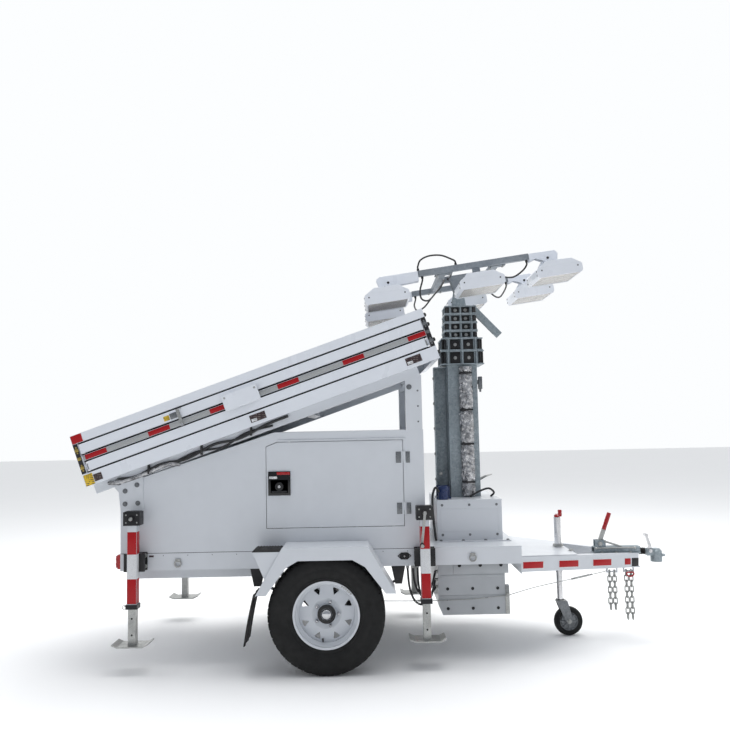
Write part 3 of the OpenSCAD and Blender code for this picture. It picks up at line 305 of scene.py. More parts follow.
WHITE = (0.66, 0.685, 0.72)
M = {
    "white": coat("white_coat", WHITE),
    "white_alu": coat("white_alu_coat", (0.82, 0.85, 0.90), 0.3, 0.04),
    "grey": coat("grey_coat", (0.44, 0.46, 0.48), 0.42, 0.12),
    "galv": zinc("galvanised_steel", (0.25, 0.30, 0.325), (0.42, 0.47, 0.50), 90, 0.46, 0.55),
    "head": zinc("head_frame_steel", (0.27, 0.30, 0.33), (0.34, 0.37, 0.40), 60, 0.5, 0.4),
    "zinc": zinc("plated_zinc", (0.34, 0.345, 0.335), (0.50, 0.505, 0.49), 240, 0.34),
    "gold": zinc("yellow_passivate", (0.42, 0.31, 0.08), (0.58, 0.45, 0.14), 160, 0.36),
    "chrome": zinc("bright_plate", (0.60, 0.60, 0.61), (0.72, 0.72, 0.73), 30, 0.18, 1.0),
    "gunmetal": zinc("gunmetal_plate", (0.17, 0.18, 0.19), (0.26, 0.27, 0.28), 140, 0.4),
    "black": dark("black_coat", (0.014, 0.014, 0.016), 0.4, 300),
    "tyre": dark("tyre_rubber", (0.009, 0.009, 0.009), 0.62, 420, 0.3, (0.020, 0.020, 0.019)),
    "rubber": dark("black_rubber", (0.014, 0.014, 0.014), 0.6, 380),
    "seal": dark("seal_rubber", (0.006, 0.006, 0.006), 0.7, 500),
    "plastic": dark("black_plastic", (0.016, 0.016, 0.018), 0.38, 700, 0.12),
    "latch": gloss("latch_enamel", (0.006, 0.006, 0.007), 0.16),
    "case": dark("battery_plastic", (0.05, 0.055, 0.065), 0.45, 500, 0.12),
    "cable": cable_skin("cable_skin"),
    "red": gloss("red_enamel", (0.40, 0.008, 0.012), 0.26),
    "blue": gloss("blue_enamel", (0.012, 0.030, 0.11), 0.3),
    "lens_red": gloss("red_lens", (0.5, 0.01, 0.012), 0.12),
    "yellow": sticker("yellow_label", (0.75, 0.50, 0.02), (0.04, 0.04, 0.04), 0.012),
    "label_dark": sticker("dark_label", (0.035, 0.018, 0.02), (0.16, 0.13, 0.12), 0.014),
    "label_white": sticker("white_label", (0.78, 0.79, 0.80), (0.3, 0.3, 0.31), 0.010),
    "tape_red": tape("red_tape", (0.46, 0.006, 0.010)),
    "tape_white": tape("white_tape", (0.78, 0.79, 0.80)),
    # tape darkened to grey: painted shade of the recessed mid rail
    "tape_painted_shade": tape("painted_shade_tape", (0.46, 0.47, 0.47)),
    "solar": solar_glass("solar_laminate"),
    "board": led_board("led_board"),
    "lens": lens_ribs("lens_ribs"),
    "foil": foil("duct_foil"),
    "floor": concrete_floor("studio_floor"),
}

CAD_LOOKS = {
    "white_paint": "white", "white_alu": "white_alu", "galvanised": "galv", "zinc": "zinc",
    "grey_paint": "grey", "black_steel": "black", "tyre": "tyre", "black_rubber": "rubber",
    "battery_case": "case", "blue_case": "blue", "red_lens": "lens_red", "red_paint": "red",
}
for part in frame["record"]["subparts"]:
    node = NODES[part["node"]]
    node.data.materials.clear()
    node.data.materials.append(M[CAD_LOOKS[part["material_slot"]]])
for name, look in (("jockey_tube", "chrome"), ("jockey_stem", "chrome"), ("coupler_latch", "chrome"),
                   ("array_subframe", "white"), ("head_frame", "head"), ("jockey_fork", "gunmetal")):
    NODES[name].data.materials[0] = M[look]


# ---------- mesh building ----------

class Maker:
    """Collects mesh pieces of one material into one object. Points go through the matrix `at`."""

    def __init__(self, at=None):
        self.bm = bmesh.new()
        self.at = at or Matrix.Identity(4)

    def box(self, lo, hi, bevel=0.001, turn=None):
        """A box with rounded edges; turn is a matrix about the box's own middle."""
        lo, hi = Vector(lo), Vector(hi)
        size, mid = hi - lo, (hi + lo) / 2
        made = bmesh.ops.create_cube(self.bm, size=1)["verts"]
        place = Matrix.Translation(mid) @ (turn or Matrix.Identity(4)) @ Matrix.Diagonal((*size, 1))
        bmesh.ops.transform(self.bm, matrix=self.at @ place, verts=made)
        bevel = min(bevel, min(size) * 0.45)
        if bevel > 0:
            edges = list({e for v in made for e in v.link_edges})
            bmesh.ops.bevel(self.bm, geom=edges, offset=bevel, segments=2, profile=0.5, affect="EDGES")

    def slab(self, s, xs, ys, zs, bevel=0.001):
        """A box on side s of the middle, with ys measured outwards from Y = 0."""
        y0, y1 = sorted((s * ys[0], s * ys[1]))
        self.box((xs[0], y0, zs[0]), (xs[1], y1, zs[1]), bevel)

    def rod(self, a, b, r, r2=None, sides=24, bevel=0.0008):
        """A round bar from a to b with slightly rounded rims."""
        a, b = Vector(a), Vector(b)
        r2 = r if r2 is None else r2
        along = b - a
        length = along.length
        bevel = min(bevel, r * 0.4, r2 * 0.4, length * 0.4)
        self.turned([(0, 0), (r - bevel, 0), (r, bevel), (r2, length - bevel), (r2 - bevel, length),
                     (0, length)], a, along, sides)

    def turned(self, profile, base, along, sides=32, closed=False):
        """A profile of (radius, distance) turned about an axis from base."""
        base, axis = Vector(base), Vector(along).normalized()
        side = axis.orthogonal().normalized()
        other = axis.cross(side)
        rings = []
        for r, h in profile:
            if r < 1e-7:
                rings.append([self.bm.verts.new(self.at @ (base + axis * h))])
                continue
            rings.append([self.bm.verts.new(self.at @ (base + axis * h + r * (
                side * math.cos(2 * math.pi * k / sides) + other * math.sin(2 * math.pi * k / sides))))
                for k in range(sides)])
        pairs = list(zip(rings, rings[1:]))
        if closed:
            pairs.append((rings[-1], rings[0]))
        for one, two in pairs:
            for k in range(sides):
                n = (k + 1) % sides
                corners = [one[k % len(one)], one[n % len(one)], two[n % len(two)], two[k % len(two)]]
                unique = list(dict.fromkeys(corners))
                if len(unique) > 2:
                    self.bm.faces.new(unique)

    def tube(self, points, r, sides=12, steps=8):
        """A smooth tube through the given points."""
        path = smooth_path([Vector(p) for p in points], steps)
        rings = []
        normal = None
        for i, p in enumerate(path):
            t = (path[min(i + 1, len(path) - 1)] - path[max(i - 1, 0)]).normalized()
            if normal is None:
                normal = t.orthogonal().normalized()
            normal = (normal - t * normal.dot(t)).normalized()
            other = t.cross(normal)
            rings.append([self.bm.verts.new(self.at @ (p + r * (
                normal * math.cos(2 * math.pi * k / sides) + other * math.sin(2 * math.pi * k / sides))))
                for k in range(sides)])
        self.skin(rings)
        self.bm.faces.new(list(reversed(rings[0])))
        self.bm.faces.new(rings[-1])

    def skin(self, rings):
        """Faces between each ring of corners and the next."""
        for one, two in zip(rings, rings[1:]):
            for k in range(len(one)):
                n = (k + 1) % len(one)
                self.bm.faces.new((one[k], one[n], two[n], two[k]))

    def bolt(self, p, axis, r=0.008, h=0.005):
        """A hexagon head on a washer, standing out of a face along axis."""
        p, axis = Vector(p), Vector(axis).normalized()
        self.rod(p, p + axis * h * 0.3, r * 1.45, sides=20)
        self.rod(p + axis * h * 0.25, p + axis * h, r, sides=6, bevel=r * 0.12)

    def dome(self, p, axis, r=0.005, h=0.0025):
        """A low round screw head or rivet."""
        steps = [(r * math.cos(a), h * math.sin(a)) for a in (0, 0.4, 0.8, 1.2, math.pi / 2)]
        steps[-1] = (0, h)
        self.turned([(0, -0.0005), (r, -0.0005)] + steps, p, axis, 16)

    def plate(self, outline, a, b, bevel=0.0008):
        """An outline drawn in X and Z, given a thickness from a to b in Y."""
        one, two = [[self.bm.verts.new(self.at @ Vector((x, y, z))) for x, z in outline] for y in (a, b)]
        faces = [self.bm.faces.new(one), self.bm.faces.new(list(reversed(two)))]
        n = len(outline)
        for k in range(n):
            faces.append(self.bm.faces.new((one[k], two[k], two[(k + 1) % n], one[(k + 1) % n])))
        bmesh.ops.recalc_face_normals(self.bm, faces=faces)
        if bevel > 0:
            edges = list({e for f in faces for e in f.edges})
            bmesh.ops.bevel(self.bm, geom=edges, offset=bevel, segments=1, profile=0.5, affect="EDGES")

    def done(self, name, look, slot, body="trailer", replaces=()):
        mesh = bpy.data.meshes.new(name)
        bmesh.ops.recalc_face_normals(self.bm, faces=self.bm.faces)
        for face in self.bm.faces:
            face.smooth = True
        self.bm.to_mesh(mesh)
        self.bm.free()
        mesh.materials.append(M[look])
        piece = bpy.data.objects.new(name, mesh)
        bpy.context.scene.collection.objects.link(piece)
        mesh.set_sharp_from_angle(angle=math.radians(38))
        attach(piece, body)
        if replaces:
            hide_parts(*replaces)


def smooth_path(points, steps):
    """Catmull-Rom points through the given ones."""
    path = []
    last = len(points) - 1
    for i in range(last):
        a, b, c, d = (points[max(i - 1, 0)], points[i], points[i + 1], points[min(i + 2, last)])
        for j in range(steps):
            t = j / steps
            path.append(0.5 * (2 * b + (c - a) * t + (2 * a - 5 * b + 4 * c - d) * t * t
                               + (3 * b - 3 * c + d - a) * t * t * t))
    return path + [points[last]]


def along(start, stop, count):
    """Evenly spaced values from start to stop."""
    return [start + (stop - start) * i / (count - 1) for i in range(count)]


def mm(points):
    return [[c / 1000 for c in p] for p in points]


def end_pairs(route):
    """The end point and its neighbour, at both ends of a route in millimetres."""
    points = [Vector(p) for p in mm(route)]
    return (points[0], points[1]), (points[-1], points[-2])


# ---------- stage and camera ----------

def camera():
    data = bpy.data.cameras.new("camera")
    cam = bpy.data.objects.new("camera", data)
    bpy.context.scene.collection.objects.link(cam)
    yaw, pitch, roll = -0.0044, 0.0822, -0.0203
    focal, picture = 775.7, 730
    forward = Vector((math.sin(yaw) * math.cos(pitch), math.cos(yaw) * math.cos(pitch), math.sin(pitch)))
    right = Vector((math.cos(yaw), -math.sin(yaw), 0))
    up = right.cross(forward)
    x_axis = right * math.cos(roll) + up * math.sin(roll)
    y_axis = up * math.cos(roll) - right * math.sin(roll)
    turn = Matrix((x_axis, y_axis, -forward)).transposed().to_4x4()
    cam.matrix_world = Matrix.Translation((-0.0749, -5.6264, 1.4789)) @ turn
    data.sensor_width = 36
    data.lens = focal / picture * data.sensor_width
    data.clip_end = 200
    bpy.context.scene.camera = cam


def area_light(name, place, aim, size, power, colour=(1, 1, 1)):
    data = bpy.data.lights.new(name, "AREA")
    data.size = size
    data.energy = power
    data.color = colour
    lamp = bpy.data.objects.new(name, data)
    lamp.location = place
    lamp.rotation_euler = (Vector(aim) - Vector(place)).to_track_quat("-Z", "Y").to_euler()
    bpy.context.scene.collection.objects.link(lamp)


def stage():
    bm = bmesh.new()
    bmesh.ops.create_grid(bm, x_segments=1, y_segments=1, size=40)
    mesh = bpy.data.meshes.new("floor")
    bm.to_mesh(mesh)
    bm.free()
    mesh.materials.append(M["floor"])
    floor = bpy.data.objects.new("floor", mesh)
    bpy.context.scene.collection.objects.link(floor)
    world = bpy.data.worlds.new("studio")
    world.use_nodes = True
    tree = world.node_tree
    coord = tree.nodes.new("ShaderNodeTexCoord")
    parts = tree.nodes.new("ShaderNodeSeparateXYZ")
    span = tree.nodes.new("ShaderNodeMapRange")
    span.inputs["From Min"].default_value = -0.75
    span.inputs["From Max"].default_value = 0.25
    ramp = tree.nodes.new("ShaderNodeValToRGB")
    ramp.color_ramp.elements[0].color = (0.35, 0.375, 0.42, 1)
    ramp.color_ramp.elements[1].color = (0.975, 0.99, 1.0, 1)
    tree.links.new(coord.outputs["Generated"], parts.inputs[0])
    tree.links.new(parts.outputs["Y"], span.inputs["Value"])
    tree.links.new(span.outputs["Result"], ramp.inputs["Fac"])
    tree.links.new(ramp.outputs["Color"], tree.nodes["Background"].inputs["Color"])
    tree.nodes["Background"].inputs["Strength"].default_value = 1.0
    bpy.context.scene.world = world
    bpy.context.scene.view_settings.view_transform = "Standard"
    area_light("overhead", (0.5, 1.2, 7.5), (0, 0.3, 0), 7.0, 520)


camera()
stage()


# ---------- wheels ----------

def wheel_centre(sign):
    return Vector((AXLE.x, sign * abs(AXLE.y), AXLE.z))


def around(r, angle):
    """A point at radius r about a wheel's axle."""
    return Vector((r * math.cos(angle), 0, r * math.sin(angle)))


def tyre(side, sign):
    """A radial tyre with grooves and shoulder blocks, which replaces the plain CAD ring."""
    body = "wheel_" + side
    wheel = wheel_centre(sign)
    half = 0.1125
    bead = 0.1955
    wall = ((0, 0.029), (0.0095, 0.027), (0.013, 0.018), (0.021, 0.013), (0.026, 0.0095), (0.031, 0.011),
            (0.05, 0.002), (0.075, 0), (0.08, 0.0015), (0.085, 0))
    shoulder = ((0.05, 0.001), (0.04, 0.004), (0.028, 0.006), (0.012, 0.013), (0.004, 0.022), (0.0015, 0.030))
    profile = [(bead + r, half - w) for r, w in wall] + [(TYRE_R - r, half - w) for r, w in shoulder]
    tread = []
    for w in along(half - 0.034, -(half - 0.034), 33):
        groove = any(abs(w - g) < 0.0035 for g in (-0.045, -0.016, 0.016, 0.045))
        tread.append((TYRE_R - (0.008 if groove else 0.0) - 0.002 * (w / half) ** 2, w))
    full = profile + tread + [(r, -w) for r, w in reversed(profile)]
    inner = [(TYRE_R - 0.034, -0.06), (TYRE_R - 0.03, 0.0), (TYRE_R - 0.034, 0.06)]
    full = full + [(bead, -0.07)] + inner + [(bead, 0.07)]
    sides = 384
    m = Maker()
    rings = []
    for r, w in full:
        ring = []
        for k in range(sides):
            radius = r
            phase = (k + (6 if abs(w) > 0.045 else 0) + 40 * abs(w)) % 8
            blocky = r > TYRE_R - 0.03 and abs(w) < half - 0.004 and abs(w) > 0.016
            if blocky and phase < 1.2:
                radius = r - 0.006
            place = wheel + around(radius, 2 * math.pi * k / sides) + Vector((0, sign * w, 0))
            ring.append(m.bm.verts.new(place))
        rings.append(ring)
    m.skin(rings + rings[:1])
    m.done("tyre_sculpted_" + side, "tyre", "tyre", body, ["tyre_" + side])


def wheel_trim(side, sign):
    body = "wheel_" + side
    wheel = wheel_centre(sign)
    out = Vector((0, sign, 0))
    m = Maker()
    m.turned([(0.05, 0.044), (0.056, 0.044), (0.056, 0.064), (0.050, 0.069), (0.036, 0.069), (0.036, 0.060)],
             wheel, out, 48)
    m.done("hub_ring_" + side, "black", "black_rubber", body)
    m = Maker()
    m.turned([(0, 0.084), (0.012, 0.0835), (0.024, 0.080), (0.030, 0.074), (0.034, 0.062), (0.034, 0.058),
              (0, 0.058)], wheel, out, 48)
    for i in range(5):
        # the studs sit in the rim's own nut circle
        spot = wheel + around(0.074, sign * math.radians(72 * i))
        m.rod(spot + out * 0.030, spot + out * 0.050, 0.0105, sides=6)
        m.dome(spot + out * 0.050, out, 0.0085, 0.006)
    m.done("hub_cap_nuts_" + side, "chrome", "zinc", body)
    m = Maker()
    spot = wheel + around(0.158, math.radians(-100))
    m.rod(spot + out * 0.022, spot + out * 0.062 + Vector((0.004, 0, -0.006)), 0.0055, 0.0045)
    m.done("valve_stem_" + side, "rubber", "black_rubber", body)
    m = Maker()
    for i in range(6):
        spot = wheel + around(0.196, math.radians(40 + i * 4)) + out * 0.091
        m.box(spot - Vector((0.006, 0.002, 0.005)), spot + Vector((0.006, 0.002, 0.005)), 0.001)
    m.done("balance_weights_" + side, "zinc", "zinc", body)


for side, sign in SIDES:
    tyre(side, sign)
    wheel_trim(side, sign)


# ---------- fenders, flaps and under-body ----------

def fender_trim():
    lo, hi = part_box("fenders")
    pads, ribs, bolts = Maker(), Maker(), Maker()
    flap_lo, flap_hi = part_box("mudflaps")
    for s in (-1, 1):
        y0, y1 = sorted((s * (BODY_Y + 0.036), s * (hi.y - 0.018)))
        top = hi.z - 0.024
        x0 = AXLE.x - 0.444
        pads.box((x0, y0, top), (x0 + 0.168, y1, top + 0.005), 0.002)
        for x in along(x0 + 0.012, x0 + 0.156, 9):
            pads.box((x - 0.004, y0 + 0.006, top + 0.004), (x + 0.004, y1 - 0.006, top + 0.009), 0.002)
        # folded hem along the fender's arch
        outline = [(-0.423, hi.z - 0.28), (-0.260, hi.z), (0.261, hi.z), (0.424, hi.z - 0.28)]
        path = [(AXLE.x + x, s * (hi.y - 0.0025), z - 0.003) for x, z in outline]
        for a, b in zip(path, path[1:]):
            ribs.rod(a, b, 0.0025, sides=10)
        for x in (-0.2, 0.0, 0.2):
            bolts.bolt((AXLE.x + x, s * (BODY_Y + 0.003), hi.z - 0.04), (0, s, 0), 0.008, 0.007)
        for x in along(-0.02, 0.02, 2):
            for y in along(y0 + 0.02, y1 - 0.02, 3):
                bolts.dome((AXLE.x - 0.432, y, lo.z - 0.012), (-1, 0, 0.2), 0.007, 0.004)
    pads.done("step_pads", "rubber", "black_rubber")
    ribs.done("fender_hems", "white", "white_paint")
    bolts.done("fender_bolts", "zinc", "zinc")
    flaps = Maker()
    for s in (-1, 1):
        y0, y1 = s * (BODY_Y + 0.02), s * flap_hi.y
        rows = 24
        columns = 14
        grid = []
        for i in range(rows + 1):
            f = i / rows
            # a slight belly, as a hanging sheet has
            x = AXLE.x - 0.4325 - 0.0600 * f - 0.006 * math.sin(math.pi * f)
            z = flap_hi.z - (flap_hi.z - flap_lo.z) * f
            grid.append([Vector((x + 0.0025 * math.sin(j * 0.9 + f * 3), y0 + (y1 - y0) * j / columns, z))
                         for j in range(columns + 1)])
        fronts = [[flaps.bm.verts.new(p) for p in row] for row in grid]
        backs = [[flaps.bm.verts.new(p - Vector((0.007, 0, 0))) for p in row] for row in grid]
        for i in range(rows):
            for j in range(columns):
                flaps.bm.faces.new((fronts[i][j], fronts[i][j + 1], fronts[i + 1][j + 1], fronts[i + 1][j]))
                flaps.bm.faces.new((backs[i][j], backs[i + 1][j], backs[i + 1][j + 1], backs[i][j + 1]))
        rim = ([(0, j) for j in range(columns + 1)] + [(i, columns) for i in range(1, rows + 1)]
               + [(rows, j) for j in range(columns - 1, -1, -1)] + [(i, 0) for i in range(rows - 1, 0, -1)])
        for (i, j), (k, n) in zip(rim, rim[1:] + rim[:1]):
            flaps.bm.faces.new((fronts[i][j], backs[i][j], backs[k][n], fronts[k][n]))
    flaps.done("flap_sheets", "rubber", "black_rubber", replaces=["mudflaps"])


def under_body():
    bolts, seams = Maker(), Maker()
    lo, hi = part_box("under_deck_box")
    y = lo.y
    for x in along(lo.x + 0.06, hi.x - 0.075, 3):
        for z in (lo.z + 0.04, lo.z + 0.165):
            bolts.bolt((x, y, z), (0, -1, 0), 0.007, 0.006)
    for z in (lo.z + 0.115, lo.z + 0.245):
        seams.box((lo.x + 0.012, y - 0.0025, z - 0.008), (hi.x - 0.03, y + 0.001, z + 0.008), 0.001)
        seams.box((lo.x + 0.012, -y - 0.001, z - 0.008), (hi.x - 0.03, -y + 0.0025, z + 0.008), 0.001)
    seams.box((lo.x + 0.10, y - 0.004, RAIL_Z - 0.075), (hi.x - 0.002, y + 0.001, RAIL_Z - 0.004), 0.001)
    seams.done("under_box_straps", "grey", "grey_paint")
    for x in along(lo.x + 0.14, hi.x - 0.05, 3):
        bolts.bolt((x, y - 0.004, RAIL_Z - 0.022), (0, -1, 0), 0.008, 0.006)
    for z in along(lo.z + 0.03, lo.z + 0.15, 3):
        bolts.dome((hi.x - 0.008, y, z), (0, -1, 0), 0.005, 0.003)
    bolts.done("under_box_bolts", "black", "black_steel")


fender_trim()
under_body()


# ---------- cabinet ----------

DOOR_LO, DOOR_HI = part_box("door_near")


def hinge_leaf(screws, leaf, s, xs, screw_x, z):
    """A steel cover over one hinge leaf, with its three screws."""
    skin = BODY_Y - 0.003
    for dz in (-0.024, 0, 0.024):
        screws.dome((screw_x, s * (skin + 0.005), z + dz), (0, s, 0), 0.004, 0.002)
    leaf.slab(s, xs, (skin + 0.0035, skin + 0.005), (z - 0.036, z + 0.036), 0.0006)


def door_trim(side, s):
    body = "door_" + side
    lo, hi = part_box("door_" + side)
    x0, z0 = lo.x + 0.014, lo.z + 0.208
    skin = BODY_Y - 0.003
    latch = skin + 0.008
    key = Vector((x0 + 0.07, s * latch, z0 + 0.055))
    out = Vector((0, s, 0))
    m = Maker()
    m.slab(s, (x0 - 0.002, x0 + 0.142), (latch - 0.001, latch + 0.004), (z0 - 0.002, z0 + 0.152), 0.003)
    m.slab(s, (x0 + 0.012, x0 + 0.128), (latch - 0.001, latch + (0.009 if s > 0 else 0.004)),
           (z0 + 0.012, z0 + 0.10), 0.004)
    m.rod(key, key + out * 0.014, 0.030, 0.027, 40)
    m.slab(s, (x0 + 0.02, x0 + 0.12), (latch + 0.006, latch + 0.013), (z0 + 0.018, z0 + 0.03), 0.003)
    m.done("latch_case_" + side, "latch", "black_steel", body)
    m = Maker()
    m.rod(key + out * 0.013, key + out * 0.017, 0.009, sides=32)
    m.slab(s, (key.x - 0.0014, key.x + 0.0014), (latch + 0.016, latch + 0.019),
           (key.z - 0.006, key.z + 0.006), 0.0005)
    m.done("latch_key_" + side, "chrome", "zinc", body)
    m = Maker()
    m.slab(s, (x0 + 0.054, x0 + 0.138), (latch, latch + 0.0055), (z0 + 0.130, z0 + 0.148))
    m.done("latch_red_strip_" + side, "red", "red_paint", body)
    m = Maker()
    m.slab(s, (x0 + 0.006, x0 + 0.056), (latch + 0.003, latch + 0.0055), (z0 + 0.104, z0 + 0.120), 0.0005)
    m.done("latch_label_" + side, "label_white", "white_paint", body)
    m = Maker()
    for z in (lo.z + 0.11, hi.z - 0.11):
        hinge_leaf(m, m, s, (hi.x - 0.061, hi.x - 0.027), hi.x - 0.044, z)
    m.done("hinge_screws_" + side, "gunmetal", "zinc", body)
    # rubber seal on the inner side
    m = Maker()
    inner = s * (skin - 0.0215)
    for a, b in (((lo.x + 0.03, lo.z + 0.03), (hi.x - 0.06, lo.z + 0.03)),
                 ((hi.x - 0.06, lo.z + 0.03), (hi.x - 0.06, hi.z - 0.03)),
                 ((hi.x - 0.06, hi.z - 0.03), (lo.x + 0.09, hi.z - 0.03)),
                 ((lo.x + 0.03, lo.z + 0.03), (lo.x + 0.03, hi.z - 0.06))):
        m.rod((a[0], inner, a[1]), (b[0], inner, b[1]), 0.005, sides=10)
    m.done("door_seal_" + side, "seal", "black_rubber", body)


def cabinet_trim():
    bolts, plates, seams = Maker(), Maker(), Maker()
    lo, hi = cab_lo, cab_hi
    face = BODY_Y - 0.003
    for s in (-1, 1):
        y = s * face
        for z in (DOOR_LO.z + 0.11, DOOR_HI.z - 0.11):
            hinge_leaf(bolts, plates, s, (DOOR_HI.x + 0.0035, DOOR_HI.x + 0.030), DOOR_HI.x + 0.016, z)
        # rear side plate bolts
        py = s * (face + 0.006)
        for x, z in ((0.106, 1.150), (0.030, 1.112), (0.030, 1.030), (0.112, 1.034)):
            bolts.bolt((lo.x + x, py, z), (0, s, 0), 0.011, 0.009)
        bolts.bolt((lo.x - 0.012, py, 1.172), (0, s, 0), 0.016, 0.013)
        # front post screws and slotted bolt
        for z in (1.52, 1.62, 1.72):
            bolts.dome((hi.x - 0.03, y, z), (0, s, 0), 0.006, 0.003)
        bolts.bolt((hi.x - 0.085, y, 1.745), (0, s, 0), 0.012, 0.009)
        # seam between cabinet and rail, with rivets below it
        for x in along(lo.x + 0.12, hi.x - 0.12, 12):
            bolts.dome((x, s * BODY_Y, rail_hi.z - 0.014), (0, s, 0), 0.003, 0.0015)
        seams.slab(s, (lo.x + 0.002, hi.x - 0.002), (face - 0.002, face + 0.0012),
                   (rail_hi.z - 0.0005, rail_hi.z + 0.0025), 0.0005)
    plates.done("hinge_leaves", "gunmetal", "zinc")
    bolts.done("cabinet_bolts", "gunmetal", "zinc")
    seams.done("cabinet_seams", "seal", "black_rubber")
    # vents in the rear wall
    vents = Maker()
    for y0 in (-0.42, 0.12):
        for z in along(lo.z + 0.09, lo.z + 0.27, 7):
            vents.box((lo.x - 0.010, y0, z), (lo.x + 0.001, y0 + 0.30, z + 0.012), 0.003,
                      Matrix.Rotation(math.radians(-28), 4, "Y"))
    vents.done("rear_louvres", "white", "white_paint")
    # socket with a diamond cover, and a small label, on the near rail
    m = Maker()
    x, z = AXLE.x + 0.49, 0.668
    diamond = ((-0.044, 0), (-0.020, 0.022), (0.020, 0.022), (0.044, 0), (0.020, -0.022), (-0.020, -0.022))
    m.plate([(x + dx, z + dz) for dx, dz in diamond], -BODY_Y - 0.005, -BODY_Y + 0.001)
    m.rod((x, -BODY_Y - 0.004, z), (x, -BODY_Y - 0.016, z), 0.017, 0.015, 32)
    m.done("socket_cover", "plastic", "black_steel")
    m = Maker()
    for dx in (-0.033, 0.033):
        m.dome((x + dx, -BODY_Y - 0.005, z), (0, -1, 0), 0.0035, 0.002)
    m.dome((x, -BODY_Y - 0.016, z), (0, -1, 0), 0.006, 0.003)
    m.done("socket_screws", "zinc", "zinc")
    m = Maker()
    m.box((-1.50, -BODY_Y - 0.0012, 0.690), (-1.47, -BODY_Y + 0.0005, 0.702), 0.0003)
    m.done("rail_label", "label_dark", "black_steel")


for side, sign in SIDES:
    door_trim(side, sign)
cabinet_trim()


def inside_cabinet():
    """Terminals, straps and displays that show when a door is open."""
    m, studs, screens = Maker(), Maker(), Maker()
    x1 = cab_hi.x - 0.25
    cabinet_floor, tray, battery_h = 0.713, 0.004, 0.120
    top = cabinet_floor + tray + battery_h
    for i in range(4):
        for y in (-0.51, 0.01):
            x = x1 - 0.24 * i
            for dy in (0.05, 0.45):
                studs.rod((x + 0.05, y + dy, top - 0.001), (x + 0.05, y + dy, top + 0.012), 0.009)
    studs.done("battery_terminals", "zinc", "zinc")
    for x in (x1, x1 - 0.48):
        m.tube([(x + dx, -0.46, top + dz) for dx, dz in ((0.05, 0.012), (-0.04, 0.03), (-0.19, 0.012))], 0.006)
    for y in (-0.31, -0.01, 0.29):
        m.tube([(-0.80, y, 0.76), (-0.77, y, 0.78), (-0.73, y * 0.9, 0.80), (-0.70, y * 0.8, 0.842)], 0.006)
    m.done("cabinet_leads", "cable", "black_rubber")
    for y in (-0.31, -0.01, 0.29):
        screens.box((-0.802, y - 0.07, 1.02), (-0.799, y + 0.07, 1.09), 0.002)
    screens.done("controller_displays", "label_white", "battery_case")


inside_cabinet()


# ---------- panel stack ----------

def stack_trim():
    seal_and_shade_strips, posts, bumpers = Maker(STACK), Maker(STACK), Maker(STACK)
    clips = {0: Maker(STACK), 1: Maker(STACK)}
    edge = HALF
    for s in (-1, 1):
        # dark strips deep in the gaps between the layers: rubber seals, and painted shade of the gaps
        for w in (FAR_W - 0.011, FAR_W + FAR_T, MID_W + MID_T, TOP_W - 0.011):
            seal_and_shade_strips.slab(s, (0.034, STACK_L - 0.034), (edge - 0.048, edge - 0.022), (w + 0.0012, w + 0.0098))
        # dark covers on the corner posts
        for end, u in enumerate((0.0, STACK_L - 0.032)):
            posts.slab(s, (u + 0.001, u + 0.031), (edge - 0.03, edge + 0.0015),
                       (BASE_T + 0.001, TOP_W - 0.001))
            face = s * (edge + 0.0015)
            for w in (FAR_W + 0.012, FAR_W + 0.046, NEAR_W + 0.012, NEAR_W + 0.048):
                clips[end].dome((u + 0.016, face, w), (0, s, 0), 0.006, 0.003)
            for w in (FAR_W + 0.03, NEAR_W + 0.03, MID_W + 0.02):
                clips[end].slab(s, (u + 0.004, u + 0.028), (edge + 0.0015, edge + 0.0055),
                                (w - 0.010, w + 0.010))
        # rubber bumpers down the upper end
        for w in (0.04, 0.128, 0.235, 0.30):
            bumpers.turned([(0, 0), (0.014, 0), (0.014, 0.010), (0.011, 0.017), (0.006, 0.019), (0, 0.0195)],
                           (STACK_L - 0.002, s * (edge - 0.03), w), (1, 0, 0), 24)
    seal_and_shade_strips.done("layer_seal_and_shade_strips", "seal", "black_rubber")
    posts.done("corner_post_covers", "plastic", "black_steel")
    bumpers.done("end_bumpers", "rubber", "black_rubber")
    clips[0].done("corner_clips_low", "gold", "zinc")
    clips[1].done("corner_clips_high", "gunmetal", "zinc")


def stack_tape():
    grey, red, dark_label, yellow = Maker(STACK), Maker(STACK), Maker(STACK), Maker(STACK)
    edge = HALF - 0.012
    for s in (-1, 1):
        rail = (MID_W + 0.002, MID_W + MID_T - 0.002)
        # tape along the recessed mid rail, grey as painted shade of the recess
        grey.slab(s, (0.036, STACK_L - 0.036), (edge - 0.0005, edge + 0.0012), rail, 0.0004)
        for u in (0.07, 0.50, 0.92, 1.385, 1.835, 2.285):
            red.slab(s, (u - 0.02, u + 0.125), (edge, edge + 0.0018), rail, 0.0004)
        # reflector square on the top frame's lower end, and the base frame's labels
        proud = (HALF, HALF + 0.0022)
        red.slab(s, (0.003, 0.075), proud, (TOP_W + 0.002, TOP_W + TOP_T - 0.002), 0.0006)
        yellow.slab(s, (0.004, 0.062), proud, (0.004, 0.076), 0.0006)
        dark_label.slab(s, (0.066, 0.120), proud, (0.016, 0.062), 0.0006)
        for u in (1.13, 2.20):
            dark_label.slab(s, (u, u + 0.105), proud, (0.022, 0.070), 0.0006)
    grey.done("rail_tape_painted_shade", "tape_painted_shade", "zinc")
    red.done("rail_tape_red", "tape_red", "red_lens")
    dark_label.done("frame_labels_dark", "label_dark", "black_steel")
    yellow.done("frame_labels_yellow", "yellow", "red_paint")
    m = Maker(STACK)
    for s in (-1, 1):
        for u in (1.137, 2.207):
            m.slab(s, (u, u + 0.036), (HALF + 0.002, HALF + 0.003), (0.026, 0.044), 0.0003)
    m.done("frame_labels_white", "label_white", "white_paint")


